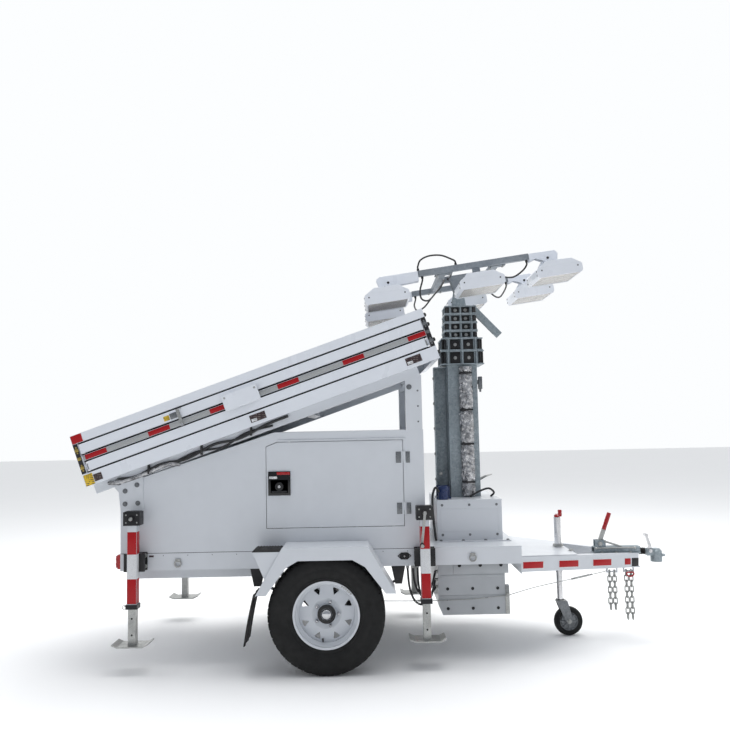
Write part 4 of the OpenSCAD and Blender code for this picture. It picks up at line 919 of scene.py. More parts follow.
def panels():
    """The glass laminates, each in a slim bezel."""
    for name, body, w, inset in (("top", "trailer", TOP_W + TOP_T - 0.005, 0.012),
                                 ("near", "drawer_near", NEAR_W + NEAR_T - 0.005, 0.066),
                                 ("far", "drawer_far", FAR_W + FAR_T - 0.005, 0.066)):
        m = Maker(STACK)
        m.box((inset, -HALF + 0.016, w - 0.0005), (STACK_L - inset, HALF - 0.016, w + 0.003), 0.0008)
        m.done("laminate_" + name, "solar", "battery_case", body)
        m = Maker(STACK)
        u0, u1, v = inset - 0.006, STACK_L - inset + 0.006, HALF - 0.012
        for a, b in (((u0, -v), (u1, -v + 0.011)), ((u0, v - 0.011), (u1, v)), ((u0, -v), (u0 + 0.012, v)),
                     ((u1 - 0.012, -v), (u1, v)), ((STACK_L / 2 - 0.008, -v), (STACK_L / 2 + 0.008, v))):
            m.box((*a, w + 0.001), (*b, w + 0.0045), 0.0008)
        m.done("bezel_" + name, "zinc", "zinc", body)


def drawer_trim():
    m = Maker(STACK)
    u0 = STACK_L * 0.415
    y = -HALF - 0.024
    for u in (u0 + 0.018, u0 + 0.222):
        m.dome((u, y, NEAR_W + 0.018), (0, -1, 0), 0.007, 0.003)
    m.dome((STACK_L * 0.294, -HALF - 0.017, NEAR_W + 0.034), (0, -1, 0), 0.008, 0.004)
    m.done("pull_screws", "zinc", "zinc", "drawer_near")
    m = Maker(STACK)
    # rolled lower lip of the pull plate
    m.rod((u0, y + 0.0035, MID_W - 0.016), (u0 + 0.24, y + 0.0035, MID_W - 0.016), 0.0035, sides=14)
    m.done("pull_lip", "white_alu", "white_alu", "drawer_near")
    m = Maker(STACK)
    u = STACK_L * 0.294
    m.box((u - 0.060, -HALF - 0.0075, NEAR_W + 0.008), (u - 0.014, -HALF - 0.004, NEAR_W + 0.046), 0.0015)
    m.done("lock_plate", "gunmetal", "black_steel", "drawer_near")
    m = Maker(STACK)
    m.box((u - 0.104, -HALF - 0.0012, NEAR_W + 0.010), (u - 0.066, -HALF + 0.0003, NEAR_W + 0.042), 0.0003)
    m.done("lock_label", "yellow", "red_paint", "drawer_near")
    m = Maker(STACK)
    m.rod((u, -HALF - 0.017, MID_W + 0.002), (u, -HALF - 0.006, MID_W + 0.002), 0.010)
    m.rod((u + 0.004, -HALF - 0.014, NEAR_W + 0.056), (u + 0.03, -HALF - 0.014, NEAR_W + 0.056), 0.004)
    m.done("lock_bar_ends", "chrome", "zinc", "drawer_lock")
    for side, body, s, w in (("near", "slides_near", -1, NEAR_W), ("far", "slides_far", 1, FAR_W)):
        m = Maker(STACK)
        for u in (0.0432, STACK_L - 0.0532):
            for v in along(-HALF + 0.05, HALF - 0.05, 9):
                m.dome((u + 0.005, v, w + 0.047), (0, 0, 1), 0.003, 0.0012)
        m.done("slide_rivets_" + side, "zinc", "zinc", body)


def under_stack():
    """Cable bundles clipped under the stack, above the slanted roof."""
    cables, silver, ties = Maker(), Maker(), Maker()
    tan = math.tan(TILT)
    for s in (-1, 1):
        lane = BODY_Y + 0.010

        def under(x, drop, out=0.0):
            """A point that far under the stack's slanted base, beside the rail."""
            return (x, s * (lane + out), STACK.translation.z + (x - STACK.translation.x) * tan - drop)
        loom = ((-1.70, 0.020), (-1.58, 0.046), (-1.42, 0.026), (-1.26, 0.052), (-1.08, 0.024), (-0.92, 0.046),
                (-0.74, 0.020), (-0.60, 0.016))
        cables.tube([under(x, d) for x, d in loom], 0.009)
        cables.tube([under(x, d, -0.004) for x, d in ((-1.36, 0.050), (-1.20, 0.030), (-1.02, 0.062),
                                                      (-0.88, 0.026), (-0.70, 0.042))], 0.007)
        silver.tube([under(x, d) for x, d in ((-1.76, 0.024), (-1.66, 0.048), (-1.50, 0.050), (-1.38, 0.044),
                                              (-1.30, 0.070))], 0.013)
        for x, d in ((-1.5, 0.040), (-1.16, 0.042), (-0.84, 0.036)):
            ties.slab(s, (x - 0.006, x + 0.006), (lane - 0.012, lane + 0.014),
                      (under(x, d)[2] - 0.020, under(x, 0)[2] + 0.004), 0.002)
    cables.done("stack_cables", "cable", "black_rubber")
    silver.done("stack_conduits", "foil", "zinc")
    ties.done("stack_cable_clips", "plastic", "black_steel")


stack_trim()
stack_tape()
panels()
drawer_trim()
under_stack()


# ---------- jacks ----------

def jack_places():
    lo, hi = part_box("jack_tubes")
    return [(x, s * (hi.y - 0.03), s) for x in (lo.x + 0.03, hi.x - 0.03) for s in (-1, 1)]


def jack_trim():
    red, white, bolts, caps = Maker(), Maker(), Maker(), Maker()
    r = 0.0306
    for x, y, s in jack_places():
        for band, z0, z1 in ((red, 0.727, 0.866), (white, 0.577, 0.727), (red, 0.425, 0.577)):
            for t in (-1, 1):
                xs, ys = sorted((x + t * r, x + t * 0.0298)), sorted((y + t * r, y + t * 0.0298))
                band.box((xs[0], y - 0.0285, z0 + 0.0005), (xs[1], y + 0.0285, z1 - 0.0005), 0.0003)
                band.box((x - 0.0285, ys[0], z0 + 0.0005), (x + 0.0285, ys[1], z1 - 0.0005), 0.0003)
        caps.box((x - 0.046, y - 0.036, 0.989), (x + 0.046, y + 0.036, 0.993), 0.002)
        for dx in (-0.052, 0.052):
            for z in (0.635, 0.703):
                bolts.bolt((x + dx, s * (BODY_Y + 0.006), z), (0, s, 0), 0.009, 0.008)
        for dx in (-0.034, 0.034):
            for dz in (0.925, 0.972):
                bolts.dome((x + dx, y + s * 0.042, dz), (0, s, 0), 0.005, 0.003)
        # capped shaft of the gearbox
        bolts.turned([(0, 0.0), (0.013, 0.0), (0.013, 0.008), (0.009, 0.014), (0, 0.015)],
                     (x, y + s * 0.052, 0.948), (0, s, 0), 24)
        # lock pin and its pull ring at the foot of the outer tube
        bolts.rod((x - 0.036, y, 0.407), (x - 0.052, y, 0.407), 0.006)
        bolts.turned([(0.010, -0.002), (0.013, -0.002), (0.013, 0.002), (0.010, 0.002)],
                     (x - 0.056, y, 0.400), (0, 1, 0), 24, True)
    red.done("jack_tape_red", "tape_red", "red_lens")
    white.done("jack_tape_white", "tape_white", "white_paint")
    bolts.done("jack_bolts", "zinc", "zinc")
    caps.done("jack_caps", "black", "black_steel")
    grip = Maker()
    lo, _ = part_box("jack_crank")
    grip.turned([(0.0112, 0), (0.0135, 0.002), (0.0128, 0.02), (0.0138, 0.034), (0.0126, 0.048),
                 (0.0112, 0.050)], (lo.x + 0.012, lo.y + 0.001, lo.z + 0.012), (0, 1, 0), 32)
    grip.done("crank_grip", "rubber", "black_rubber", "jack_crank")


def leg_trim(corner, x, y, s):
    body = "jack_leg_" + corner
    m = Maker()
    # dark discs at the pin holes: painted shade inside the holes
    for z in (0.235, 0.335):
        m.turned([(0, 0), (0.006, 0), (0.006, 0.0006), (0, 0.0006)], (x, y + s * 0.024, z), (0, s, 0), 20)
    m.done("leg_pin_hole_shade_" + corner, "seal", "black_steel", body)
    m = Maker()
    for dx in (-0.024, 0.024):
        for dy in (-0.024, 0.024):
            # weld fillets at the foot of the leg
            m.tube([(x + dx, y - 0.022, 0.178), (x + dx, y + 0.022, 0.178)] if dy < 0 else
                   [(x - 0.022, y + dx, 0.178), (x + 0.022, y + dx, 0.178)], 0.003, 8, 4)
    m.done("leg_welds_" + corner, "zinc", "zinc", body)


jack_trim()
for corner, (x, y, s) in zip(("rear_near", "rear_far", "front_near", "front_far"), jack_places()):
    leg_trim(corner, x, y, s)


# ---------- jockey wheel ----------

def mirrored(half):
    """A full profile from the half that lies at positive distances, listed from the axle outwards."""
    return [(r, -w) for r, w in half] + half[::-1]


def jockey_trim():
    fork = Vector(JOINTS["jockey_wheel_spin"]["pos_m"])
    m = Maker()
    half = [(0.064, 0.0245), (0.084, 0.0255), (0.094, 0.0225), (0.0985, 0.014), (0.0999, 0.006)]
    m.turned(mirrored(half), fork, (0, 1, 0), 96, True)
    m.done("jockey_tyre", "tyre", "black_rubber", "jockey_wheel", ["jockey_wheel"])
    m = Maker()
    half = [(0.0082, 0.027), (0.024, 0.027), (0.024, 0.018), (0.050, 0.014), (0.062, 0.022), (0.0645, 0.024)]
    m.turned(mirrored(half), fork, (0, 1, 0), 72, True)
    for i in range(8):
        a = math.pi * i / 4
        turn = Matrix.Rotation(-a, 4, "Y")
        place = fork + around(0.043, a)
        m.box(place - Vector((0.018, 0.021, 0.003)), place + Vector((0.018, 0.021, 0.003)), 0.001, turn)
    m.done("jockey_hub", "gunmetal", "black_steel", "jockey_wheel")
    m = Maker()
    for s in (-1, 1):
        m.bolt(fork + Vector((0, s * 0.035, 0)), (0, s, 0), 0.011, 0.010)
    x = fork.x - 0.051
    m.rod((x, 0, 0.2385), (x, 0, 0.2495), 0.033, 0.031, 48)
    m.done("jockey_fork_bolts", "zinc", "zinc", "jockey_fork")
    m = Maker()
    # clamp on the tongue plate
    m.turned([(0.0242, -0.008), (0.037, -0.008), (0.038, -0.006), (0.033, 0.008), (0.0242, 0.009)],
             (x, 0, 0.628), (0, 0, 1), 48, True)
    m.done("jockey_collar", "zinc", "zinc")
    m = Maker()
    _, crank_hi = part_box("jockey_crank")
    m.turned([(0.0125, 0.0), (0.0145, 0.004), (0.0125, 0.014), (0.0145, 0.026), (0.012, 0.033), (0, 0.0335)],
             (x, -0.092, crank_hi.z - 0.034), (0, 0, 1), 32)
    m.done("jockey_knob", "red", "red_paint", "jockey_crank")


jockey_trim()


# ---------- tongue, coupler, lever and chains ----------

def tongue_trim():
    """Tape on the outer faces of the tongue beams, in each beam's own axes."""
    tip = Vector((1.790, 0.040, 0.568))
    root = Vector((rail_hi.x - 0.004, BODY_Y - 0.09, 0.636))
    run = tip - root
    yaw = math.atan2(run.y, run.x)
    pitch = math.asin(-run.z / math.hypot(run.x, run.y))
    for side, s in SIDES:
        place = (Matrix.Translation((root.x, s * root.y, root.z)) @ Matrix.Rotation(s * yaw, 4, "Z")
                 @ Matrix.Rotation(pitch, 4, "Y"))
        red, white, cap = Maker(place), Maker(place), Maker(place)
        y0, y1 = sorted((s * 0.0248, s * 0.0265))
        for u, length in ((0.016, 0.165), (0.315, 0.165), (0.610, 0.165), (0.900, 0.055)):
            red.box((u, y0, -0.075), (u + length, y1, -0.033), 0.0004)
        for u in (0.010, 0.309, 0.604):
            white.box((u, y0 + 0.0002, -0.080), (u + 0.177, y1 - 0.0004, -0.028), 0.0004)
        red.done("tongue_tape_red_" + side, "tape_red", "red_lens")
        white.done("tongue_tape_white_" + side, "tape_white", "white_paint")
        cap.box((0.965, -0.027, -0.090), (1.032, 0.027, -0.030), 0.004)
        cap.done("tongue_end_cap_" + side, "plastic", "black_steel")
    m = Maker()
    x, _, z = JOINTS["brake_lever_pull"]["pos_m"]
    for s in (-1, 1):
        m.bolt((1.30, s * 0.16, 0.612), (0, 0, 1), 0.012, 0.010)
    for dx in (0.0, 0.10, 0.20):
        for s in (-1, 1):
            m.bolt((1.55 + dx, s * 0.040, 0.572), (0, 0, 1), 0.008, 0.008)
    for s in (-1, 1):
        m.bolt((x, s * 0.032, z), (0, s, 0), 0.011, 0.008)
    m.done("tongue_bolts", "zinc", "zinc")


def coupler_trim():
    pivot = Vector(JOINTS["brake_lever_pull"]["pos_m"])
    lean = math.radians(21)
    up = Vector((math.sin(lean), 0, math.cos(lean)))
    m = Maker()
    m.turned([(0, -0.002), (0.0145, -0.002), (0.0155, 0.002), (0.0145, 0.03), (0.0155, 0.06), (0.015, 0.10),
              (0.0146, 0.1215), (0.012, 0.1238), (0, 0.1245)], pivot + up * 0.104, up, 40)
    m.done("lever_grip", "red", "red_paint", "brake_lever")
    # brake rod along the housing's near side
    m = Maker()
    rod_y, rod_z = pivot.y - 0.0405, pivot.z - 0.030
    m.rod((pivot.x - 0.045, rod_y, rod_z), (pivot.x + 0.240, rod_y, rod_z), 0.005)
    for dx in (-0.040, 0.235):
        m.rod((pivot.x + dx, rod_y, rod_z), (pivot.x + dx + 0.012, rod_y, rod_z), 0.009, sides=6)
    for s in (-1, 1):
        m.rod(pivot + Vector((0.028, s * 0.030, 0.016)), pivot + Vector((0.150, s * 0.030, -0.024)), 0.0055)
    m.done("brake_rod", "zinc", "zinc")
    m = Maker()
    nose = Vector(JOINTS["coupler_latch_lift"]["pos_m"])
    for s in (-1, 1):
        m.bolt(nose + Vector((0, s * 0.0345, 0)), (0, s, 0), 0.009, 0.008)
    m.done("latch_bolts", "chrome", "zinc", "coupler_latch")
    m = Maker()
    m.turned([(0.0195, 0), (0.025, 0.002), (0.019, 0.008), (0.025, 0.014), (0.019, 0.020), (0.025, 0.026),
              (0.019, 0.032), (0.024, 0.038), (0.0195, 0.04)], (1.825, 0, 0.574), (1, 0, 0), 40)
    m.done("drawbar_gaiter", "rubber", "black_rubber")
    # bow shackle at the front chain, and its pin
    x, y, z = JOINTS["chain_front_swing"]["pos_m"]
    m = Maker()
    y -= 0.036
    bow = ((-0.020, -0.004), (-0.025, -0.016), (-0.012, -0.030), (0.012, -0.030), (0.025, -0.016),
           (0.020, -0.004))
    m.tube([(x + dx, y, z + dz) for dx, dz in bow], 0.0055)
    m.rod((x - 0.026, y, z - 0.004), (x + 0.026, y, z - 0.004), 0.005)
    m.done("chain_shackle", "red", "red_paint", "chain_front")


def brake_cable():
    route = mm([[-325.4, -470, 372], [-280, -472, 371], [0, -492, 366], [330, -512, 366], [560, -514, 372],
                [780, -512, 390], [830, -500, 398], [1000, -430, 425], [1250, -330, 450], [1480, -212, 468],
                [1535, -170, 472], [1545, -163, 489.2]])
    m = Maker()
    m.tube(route, 0.0025, 10, 4)
    a, b = Vector(route[8]), Vector(route[9])
    m.rod(a.lerp(b, 0.1), a.lerp(b, 0.62), 0.0075, sides=6)
    m.rod(a.lerp(b, 0.66), a.lerp(b, 0.72), 0.006)
    m.rod(a.lerp(b, 0.02), a.lerp(b, 0.08), 0.006)
    m.done("brake_cable", "zinc", "zinc")
    hoses = [
        [[150, -562, 605.4], [150, -562, 570], [160, -566, 460], [192, -571, 380], [240, -573, 358],
         [290, -558, 392], [318, -520, 460], [330, -492, 490], [338, -488, 494], [347.4, -488, 494]],
        [[185, -564, 605.4], [185, -564, 572], [192, -568, 500], [215, -573, 440], [255, -571, 424],
         [296, -548, 458], [322, -512, 520], [331, -482, 542], [338, -476, 544], [347.4, -476, 544]],
        [[215, -545, 605.4], [215, -545, 575], [218, -550, 480], [232, -556, 412], [262, -552, 392],
         [296, -528, 412], [322, -496, 436], [331, -472, 445], [338, -468, 446], [347.4, -468, 446]]]
    m = Maker()
    for route in hoses:
        m.tube(mm(route), 0.007, 12, 8)
    m.done("hose_loops", "cable", "black_rubber", replaces=["lower_cables"])
    m = Maker()
    for route in hoses:
        for a, b in end_pairs(route):
            m.rod(a, a + (b - a).normalized() * 0.020, 0.0105, sides=6)
    m.done("hose_fittings", "zinc", "zinc")
    lo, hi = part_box("under_deck_box")
    m = Maker()
    m.box((hi.x - 0.028, lo.y - 0.004, lo.z + 0.004), (hi.x - 0.002, lo.y + 0.001, lo.z + 0.176), 0.001)
    m.turned([(0.004, -0.006), (0.010, -0.006), (0.012, -0.004), (0.008, 0.0), (0.012, 0.004), (0.010, 0.006),
              (0.004, 0.006)], (hi.x - 0.013, lo.y - 0.011, lo.z + 0.128), (0, 1, 0), 32, True)
    m.bolt((hi.x - 0.013, lo.y - 0.017, lo.z + 0.128), (0, -1, 0), 0.005, 0.004)
    m.done("cable_roller", "zinc", "zinc")


tongue_trim()
coupler_trim()
brake_cable()


# ---------- mast ----------

def mast_trim():
    lo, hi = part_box("mast_base_box")
    m = Maker()
    for x in along(lo.x + 0.035, hi.x - 0.035, 3):
        for z in (lo.z + 0.04, hi.z - 0.035):
            for s in (-1, 1):
                m.bolt((x, s * hi.y, z), (0, s, 0), 0.006, 0.005)
    for x in along(lo.x + 0.02, hi.x + 0.03, 4):
        m.bolt((x, lo.y - 0.025, rail_hi.z + 0.008), (0, 0, 1), 0.009, 0.008)
    m.done("base_box_bolts", "gunmetal", "zinc")
    m = Maker()
    # flange round the foot of the box, and a rolled rim round its top
    for s in (-1, 1):
        m.slab(s, (lo.x - 0.01, hi.x + 0.05), (hi.y, hi.y + 0.045), (rail_hi.z + 0.004, rail_hi.z + 0.009))
    for a, b in (((lo.x, lo.y), (hi.x, lo.y)), ((hi.x, lo.y), (hi.x, hi.y)), ((hi.x, hi.y), (lo.x, hi.y)),
                 ((lo.x, hi.y), (lo.x, lo.y))):
        m.rod((*a, hi.z - 0.003), (*b, hi.z - 0.003), 0.0032, sides=12)
    # service cover let into the near and far walls
    for s in (-1, 1):
        wall = (hi.y - 0.001, hi.y + 0.0015)
        for z in (lo.z + 0.062, hi.z - 0.060):
            m.slab(s, (lo.x + 0.025, hi.x - 0.025), wall, (z - 0.0015, z + 0.0015), 0.0006)
        for x in (lo.x + 0.025, hi.x - 0.025):
            m.slab(s, (x - 0.0015, x + 0.0015), wall, (lo.z + 0.062, hi.z - 0.060), 0.0006)
    m.done("base_box_rims", "white", "white_paint")
    face = -0.105
    # cable duct in crinkled foil down the mast's near face
    duct = Maker()
    rows, sides = 150, 28
    strap_z = (1.095, 1.36, 1.60, 1.86)
    z0, z1 = hi.z + 0.01, 1.905
    rings = []
    for i in range(rows + 1):
        z = z0 + (z1 - z0) * i / rows
        ring = []
        for k in range(sides):
            a = 2 * math.pi * k / sides
            crinkle = (0.0045 * math.sin(7 * a + 41 * z) * math.sin(67 * z + 2 * a)
                       + 0.003 * math.sin(13 * a - 97 * z) + 0.002 * math.sin(211 * z + 3 * a))
            pinch = sum(0.010 * math.exp(-((z - q) / 0.018) ** 2) for q in strap_z)
            r = 0.047 + crinkle - pinch
            ring.append(duct.bm.verts.new((MAST_X + 0.018 + 0.95 * r * math.cos(a),
                                           face - 0.034 + 0.62 * r * math.sin(a), z)))
        rings.append(ring)
    duct.skin(rings)
    duct.bm.faces.new(rings[0])
    duct.bm.faces.new(rings[-1])
    duct.done("cable_duct", "foil", "galvanised")
    straps = Maker()
    for z in strap_z:
        straps.box((MAST_X - 0.026, face - 0.064, z - 0.006), (MAST_X + 0.062, face + 0.002, z + 0.006),
                   0.003)
    straps.done("duct_straps", "plastic", "black_steel")
    m = Maker()
    # wire guide on the mast's forward side, and the lifting ropes beside the tube
    m.tube([(MAST_X + 0.105, -0.05, 1.10), (MAST_X + 0.16, -0.06, 1.13), (MAST_X + 0.20, 0.0, 1.135),
            (MAST_X + 0.16, 0.06, 1.12), (MAST_X + 0.105, 0.05, 1.10)], 0.005)
    for y in (0.03, -0.03):
        m.rod((MAST_X + 0.112, y, 0.992), (MAST_X + 0.112, y, 1.918), 0.003)
    m.box((MAST_X + 0.080, -0.085, 1.780), (MAST_X + 0.130, -0.079, 1.812), 0.001)
    m.done("mast_rope_guide", "zinc", "zinc")
    m = Maker()
    # limit switch box on its bracket, forward of the tube
    m.box((MAST_X + 0.112, -0.112, 1.745), (MAST_X + 0.140, -0.079, 1.835), 0.004)
    m.rod((MAST_X + 0.126, -0.095, 1.745), (MAST_X + 0.126, -0.095, 1.725), 0.008, 0.007)
    m.done("limit_switch", "gunmetal", "black_steel")
    m = Maker()
    post_lo, post_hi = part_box("mast_post")
    for z in along(post_lo.z + 0.12, post_hi.z - 0.08, 5):
        m.bolt(((post_lo.x + post_hi.x) / 2, 0.046, z), (0, 1, 0), 0.010, 0.008)
        m.bolt((post_lo.x, 0.0, z), (-1, 0, 0), 0.010, 0.008)
    for z in (1.05, 1.15):
        m.bolt((post_lo.x + 0.03, -0.046, z), (0, -1, 0), 0.008, 0.007)
    m.done("post_bolts", "zinc", "zinc")


def collar_trim(k, body):
    """Bolts through the collar's flanges, guide rollers between its ribs, and dark pads of painted shade on
    its necks.
    """
    widths = (0.304, 0.293, 0.236, 0.236, 0.230, 0.226)
    heights = (0.100, 0.090, 0.054, 0.060, 0.060, 0.060)
    z = 1.920 + sum(heights[:k]) + 0.0005 * k
    w, h = widths[k] / 2, heights[k]
    bolts, rollers, pads = Maker(), Maker(), Maker()
    for dx, dy in ((1, 0), (-1, 0), (0, 1), (0, -1)):
        out = Vector((dx, dy, 0))
        side = Vector((-dy, dx, 0))
        turn = Matrix.Rotation(math.atan2(dy, dx), 4, "Z")
        for f in (-0.16, 0.16):
            p = Vector((MAST_X, 0, z + h / 2)) + out * (w - 0.030) + side * (2 * w * f)
            # dark pads between the ribs, painted shade of the collar's necks, each held by a bright bolt
            half = Vector((0.004, w * 0.24, h / 2 - 0.0095))
            pads.box(p - half, p + half, 0.001, turn)
            bolts.bolt(p + out * 0.004, out, 0.0085, 0.009)
        half = Vector((0, 0, h / 2 - 0.011))
        for f in (0.82, -0.82):
            p = Vector((MAST_X, 0, z + h / 2)) + out * (w - 0.011) + side * (w * f)
            rollers.rod(p - half, p + half, 0.009)
    bolts.done("collar_bolts_%d" % k, "zinc", "zinc", body)
    pads.done("collar_shade_pads_%d" % k, "plastic", "black_steel", body)
    rollers.done("collar_rollers_%d" % k, "plastic", "black_steel", body)


def winch_trim():
    lo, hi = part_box("winch")
    m = Maker()
    x = lo.x + 0.040
    m.turned([(0, 0.062), (0.0355, 0.062), (0.0365, 0.066), (0.0365, 0.078), (0.030, 0.090), (0.012, 0.094),
              (0, 0.094)], (x, -0.290, hi.z - 0.084), (0, 0, 1), 48)
    m.done("winch_cap", "blue", "blue_case")
    m = Maker()
    centre = Vector((lo.x + 0.048, -0.175, lo.z + 0.044))
    turns = 9
    path = []
    for i in range(turns * 16 + 1):
        shift = -0.030 + 0.060 * i / (turns * 16)
        path.append(centre + around(0.0285, 2 * math.pi * i / 16) + Vector((0, shift, 0)))
    m.tube(path, 0.0028, 8, 1)
    m.done("winch_rope", "zinc", "zinc")
    m = Maker()
    lead = ((-0.03, -0.315, -0.03), (-0.055, -0.335, 0), (-0.075, -0.345, -0.05), (-0.078, -0.345, -0.14),
            (-0.07, -0.342, -0.26), (-0.06, -0.34, -0.352))
    m.tube([(x + dx, y, hi.z + dz) for dx, y, dz in lead], 0.008)
    m.tube([(MAST_X + 0.02, -0.17, 0.995), (MAST_X + 0.08, -0.18, 1.03), (MAST_X + 0.15, -0.17, 1.05),
            (MAST_X + 0.19, -0.15, 1.02), (MAST_X + 0.17, -0.13, 0.992)], 0.007)
    m.done("winch_leads", "cable", "black_rubber")


mast_trim()
collar_trim(0, "trailer")
for stage_number in range(1, 6):
    collar_trim(stage_number, "mast_stage_%d" % stage_number)
winch_trim()


# ---------- light head ----------

LAMP_U = (-0.545, 0.091, 0.608)
BAR_W, BAR_Y, DROP = 0.110, 0.400, 0.070
LAMPS = [("lamp_%s_%s" % (side, spot), s, u) for side, s in SIDES
         for spot, u in zip(("rear", "mid", "front"), LAMP_U)]


def lamp_trim(name, s, u):
    at = HEAD @ Matrix.Translation((u, s * BAR_Y, BAR_W - DROP))
    low = -0.115
    m = Maker(at)
    m.box((-0.128, -0.170, low + 0.040), (0.128, 0.170, low + 0.044), 0.001)
    m.done("board_" + name, "board", "white_alu", name)
    # ribbed lens: long rounded bars across the mouth
    m = Maker(at)
    for v in along(-0.146, 0.146, 9):
        profile = [(v - 0.0155, low + 0.008), (v - 0.0120, low + 0.003), (v, low + 0.0012),
                   (v + 0.0120, low + 0.003), (v + 0.0155, low + 0.008), (v, low + 0.012)]
        one = [m.bm.verts.new(at @ Vector((-0.129, a, b))) for a, b in profile]
        two = [m.bm.verts.new(at @ Vector((0.129, a, b))) for a, b in profile]
        m.bm.faces.new(one)
        m.bm.faces.new(list(reversed(two)))
        for k in range(6):
            n = (k + 1) % 6
            m.bm.faces.new((one[k], two[k], two[n], one[n]))
    m.done("lens_" + name, "lens", "white_alu", name)
    # screws on the end plates, pivot bolts, and a cable gland
    m = Maker(at)
    for x in (-0.150, 0.150):
        for v in (-0.150, 0.150):
            for w in (-0.066, -0.095):
                m.dome((x, v, w), (math.copysign(1, x), 0, 0), 0.006, 0.003)
    for v in (-0.176, 0.176):
        for x in (-0.12, 0.12):
            m.dome((x, math.copysign(0.180, v), -0.068), (0, math.copysign(1, v), 0), 0.005, 0.0025)
    for v in (-1, 1):
        m.bolt((0.0, v * 0.0145, 0.0), (0, v, 0), 0.011, 0.009)
        m.bolt((0.032, v * 0.0145, -0.012), (0, v, 0), 0.006, 0.006)
    m.rod((0.05, 0.06 * s, -0.032), (0.05, 0.06 * s, -0.006), 0.010, 0.008)
    m.done("screws_" + name, "plastic", "black_steel", name)
    # outer cheek plates that close the fins, white, sloping in towards the bar
    m = Maker(at)
    for v in (-0.181, 0.178):
        m.plate([(-0.136, -0.047), (0.136, -0.047), (0.085, -0.012), (-0.085, -0.012)], v, v + 0.003,
                0.0006)
    m.done("cheeks_" + name, "white_alu", "white_alu", name)


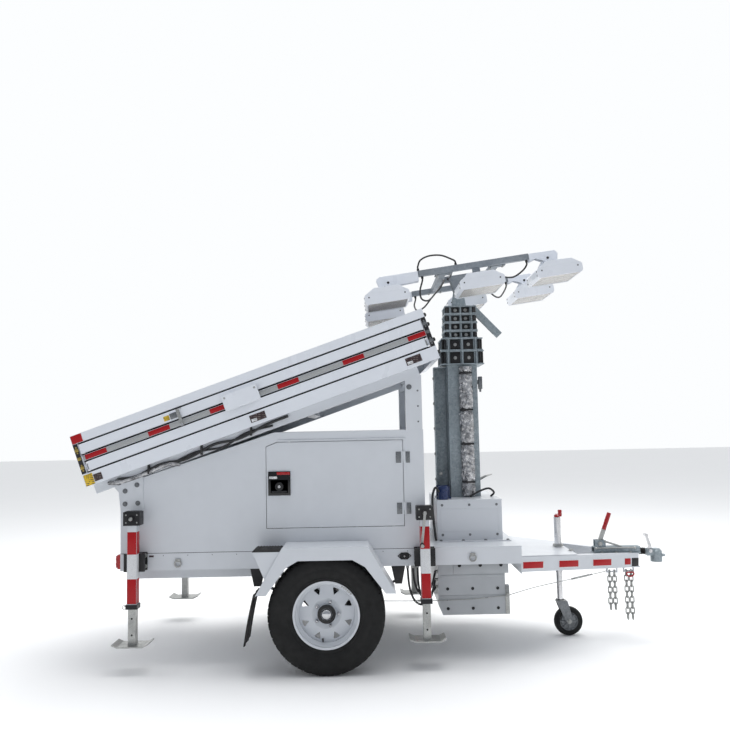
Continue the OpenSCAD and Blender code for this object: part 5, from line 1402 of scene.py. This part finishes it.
def head_trim():
    routes = [
        [[-300, -400, 130.6], [-300, -400, 150], [-296, -400, 166], [-272, -402, 203], [-210, -404, 222],
         [-130, -404, 213], [-62, -402, 176], [-42, -400, 160], [-40, -400, 148], [-40, -400, 130.6]],
        [[-280, -400, 89.4], [-280, -400, 72], [-284, -398, 56], [-306, -370, 0], [-300, -320, -50],
         [-250, -270, -60], [-180, -190, 0], [-108, -95, 76], [-97, -70, 102], [-95, -50, 110],
         [-95, -30.6, 110]],
        [[-280, 400, 89.4], [-280, 400, 72], [-284, 396, 58], [-302, 360, 10], [-290, 310, -35],
         [-240, 240, -30], [-170, 160, 30], [-108, 95, 78], [-97, 70, 102], [-95, 50, 110], [-95, 30.6, 110]],
        [[440, -400, 89.4], [440, -400, 72], [437, -398, 56], [415, -385, 30], [370, -350, 5],
         [335, -300, 5], [275, -210, 42], [192, -105, 94], [179, -68, 108], [175, -50, 110],
         [175, -30.6, 110]],
        [[440, 400, 89.4], [440, 400, 72], [437, 398, 56], [412, 370, 20], [360, 310, -30],
         [310, 250, -30], [250, 180, 20], [196, 102, 86], [178, 68, 107], [175, 50, 110], [175, 30.6, 110]],
        [[-60, -379.4, 110], [-60, -362, 110], [-62, -345, 107], [-65, -300, 98], [-66, -220, 90],
         [-64, -120, 98], [-61, -68, 108], [-60, -50, 110], [-60, -30.6, 110]]]
    m = Maker(HEAD)
    for route in routes:
        m.tube(mm(route), 0.006, 12, 8)
    m.done("head_leads", "cable", "black_rubber", "light_head", ["head_cables"])
    m = Maker(HEAD)
    for route in routes:
        for a, b in end_pairs(route):
            m.rod(a, a + (b - a).normalized() * 0.016, 0.0095, 0.008)
    m.done("head_glands", "plastic", "black_steel", "light_head")
    m = Maker(HEAD)
    for s in (-1, 1):
        for u in (-0.130, 0.240):
            for du in (-0.045, 0.045):
                for v in (0.335, 0.368):
                    m.bolt((u + du, s * v, BAR_W - 0.025), (0, 0, -1), 0.007, 0.007)
        for u in LAMP_U:
            m.bolt((u + 0.016, s * BAR_Y - 0.008, BAR_W - 0.012), (0, -1, 0), 0.006, 0.005)
    m.done("head_bolts", "zinc", "zinc", "light_head")
    m, pins = Maker(HEAD), Maker(HEAD)
    rear, front = LAMP_U[0], LAMP_U[2]
    shapes = ([(rear - 0.050, 0.110), (rear - 0.034, 0.044), (rear - 0.012, 0.028), (rear + 0.018, 0.028),
               (rear + 0.060, 0.050), (-0.307, 0.058), (-0.307, 0.1250), (rear - 0.024, 0.1250)],
              [(0.455, 0.070), (front - 0.110, 0.086), (front - 0.040, 0.052), (front - 0.012, 0.032),
               (front + 0.012, 0.032), (front + 0.034, 0.050), (front + 0.044, 0.100),
               (front + 0.026, 0.1242), (0.455, 0.1250)])
    for s in (-1, 1):
        # white folded brackets over the end arms of the bars
        for u0, u1 in ((rear - 0.020, -0.307), (0.459, front + 0.020)):
            m.box((u0, s * BAR_Y - 0.0275, 0.1237), (u1, s * BAR_Y + 0.0275, 0.1247), 0.0003)
        for shape in shapes:
            for v in (s * BAR_Y - 0.0295, s * BAR_Y + 0.0265):
                m.plate(shape, v, v + 0.003, 0.0006)
        for u in (rear, front):
            for v in (-1, 1):
                y = s * BAR_Y + v * 0.0295
                inward = 0.028 if u < 0 else -0.028
                pins.bolt((u, y, 0.040), (0, v, 0), 0.011, 0.008)
                pins.bolt((u + inward, y, 0.078), (0, v, 0), 0.006, 0.005)
    m.done("arm_brackets", "white_alu", "white_alu", "light_head")
    pins.done("arm_pins", "plastic", "black_steel", "light_head")


for name, s, u in LAMPS:
    lamp_trim(name, s, u)
head_trim()


# ---------- tail lights ----------

def tail_trim():
    lo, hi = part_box("tail_lights")
    m = Maker()
    lens = Maker()
    for s in (-1, 1):
        y0, y1 = sorted((s * (BODY_Y - 0.205), s * (BODY_Y - 0.035)))
        m.box((lo.x + 0.010, y0 - 0.004, lo.z + 0.004), (lo.x + 0.016, y1 + 0.004, hi.z - 0.004), 0.002)
        for y in along(y0 + 0.02, y1 - 0.02, 5):
            for z in (lo.z + 0.03, lo.z + 0.06):
                lens.turned([(0, 0.0), (0.012, 0.0), (0.010, 0.003), (0.005, 0.005), (0, 0.0055)],
                            (lo.x, y, z), (-1, 0, 0), 20)
    m.done("tail_rims", "plastic", "black_steel")
    lens.done("tail_lenses", "lens_red", "red_lens")


tail_trim()
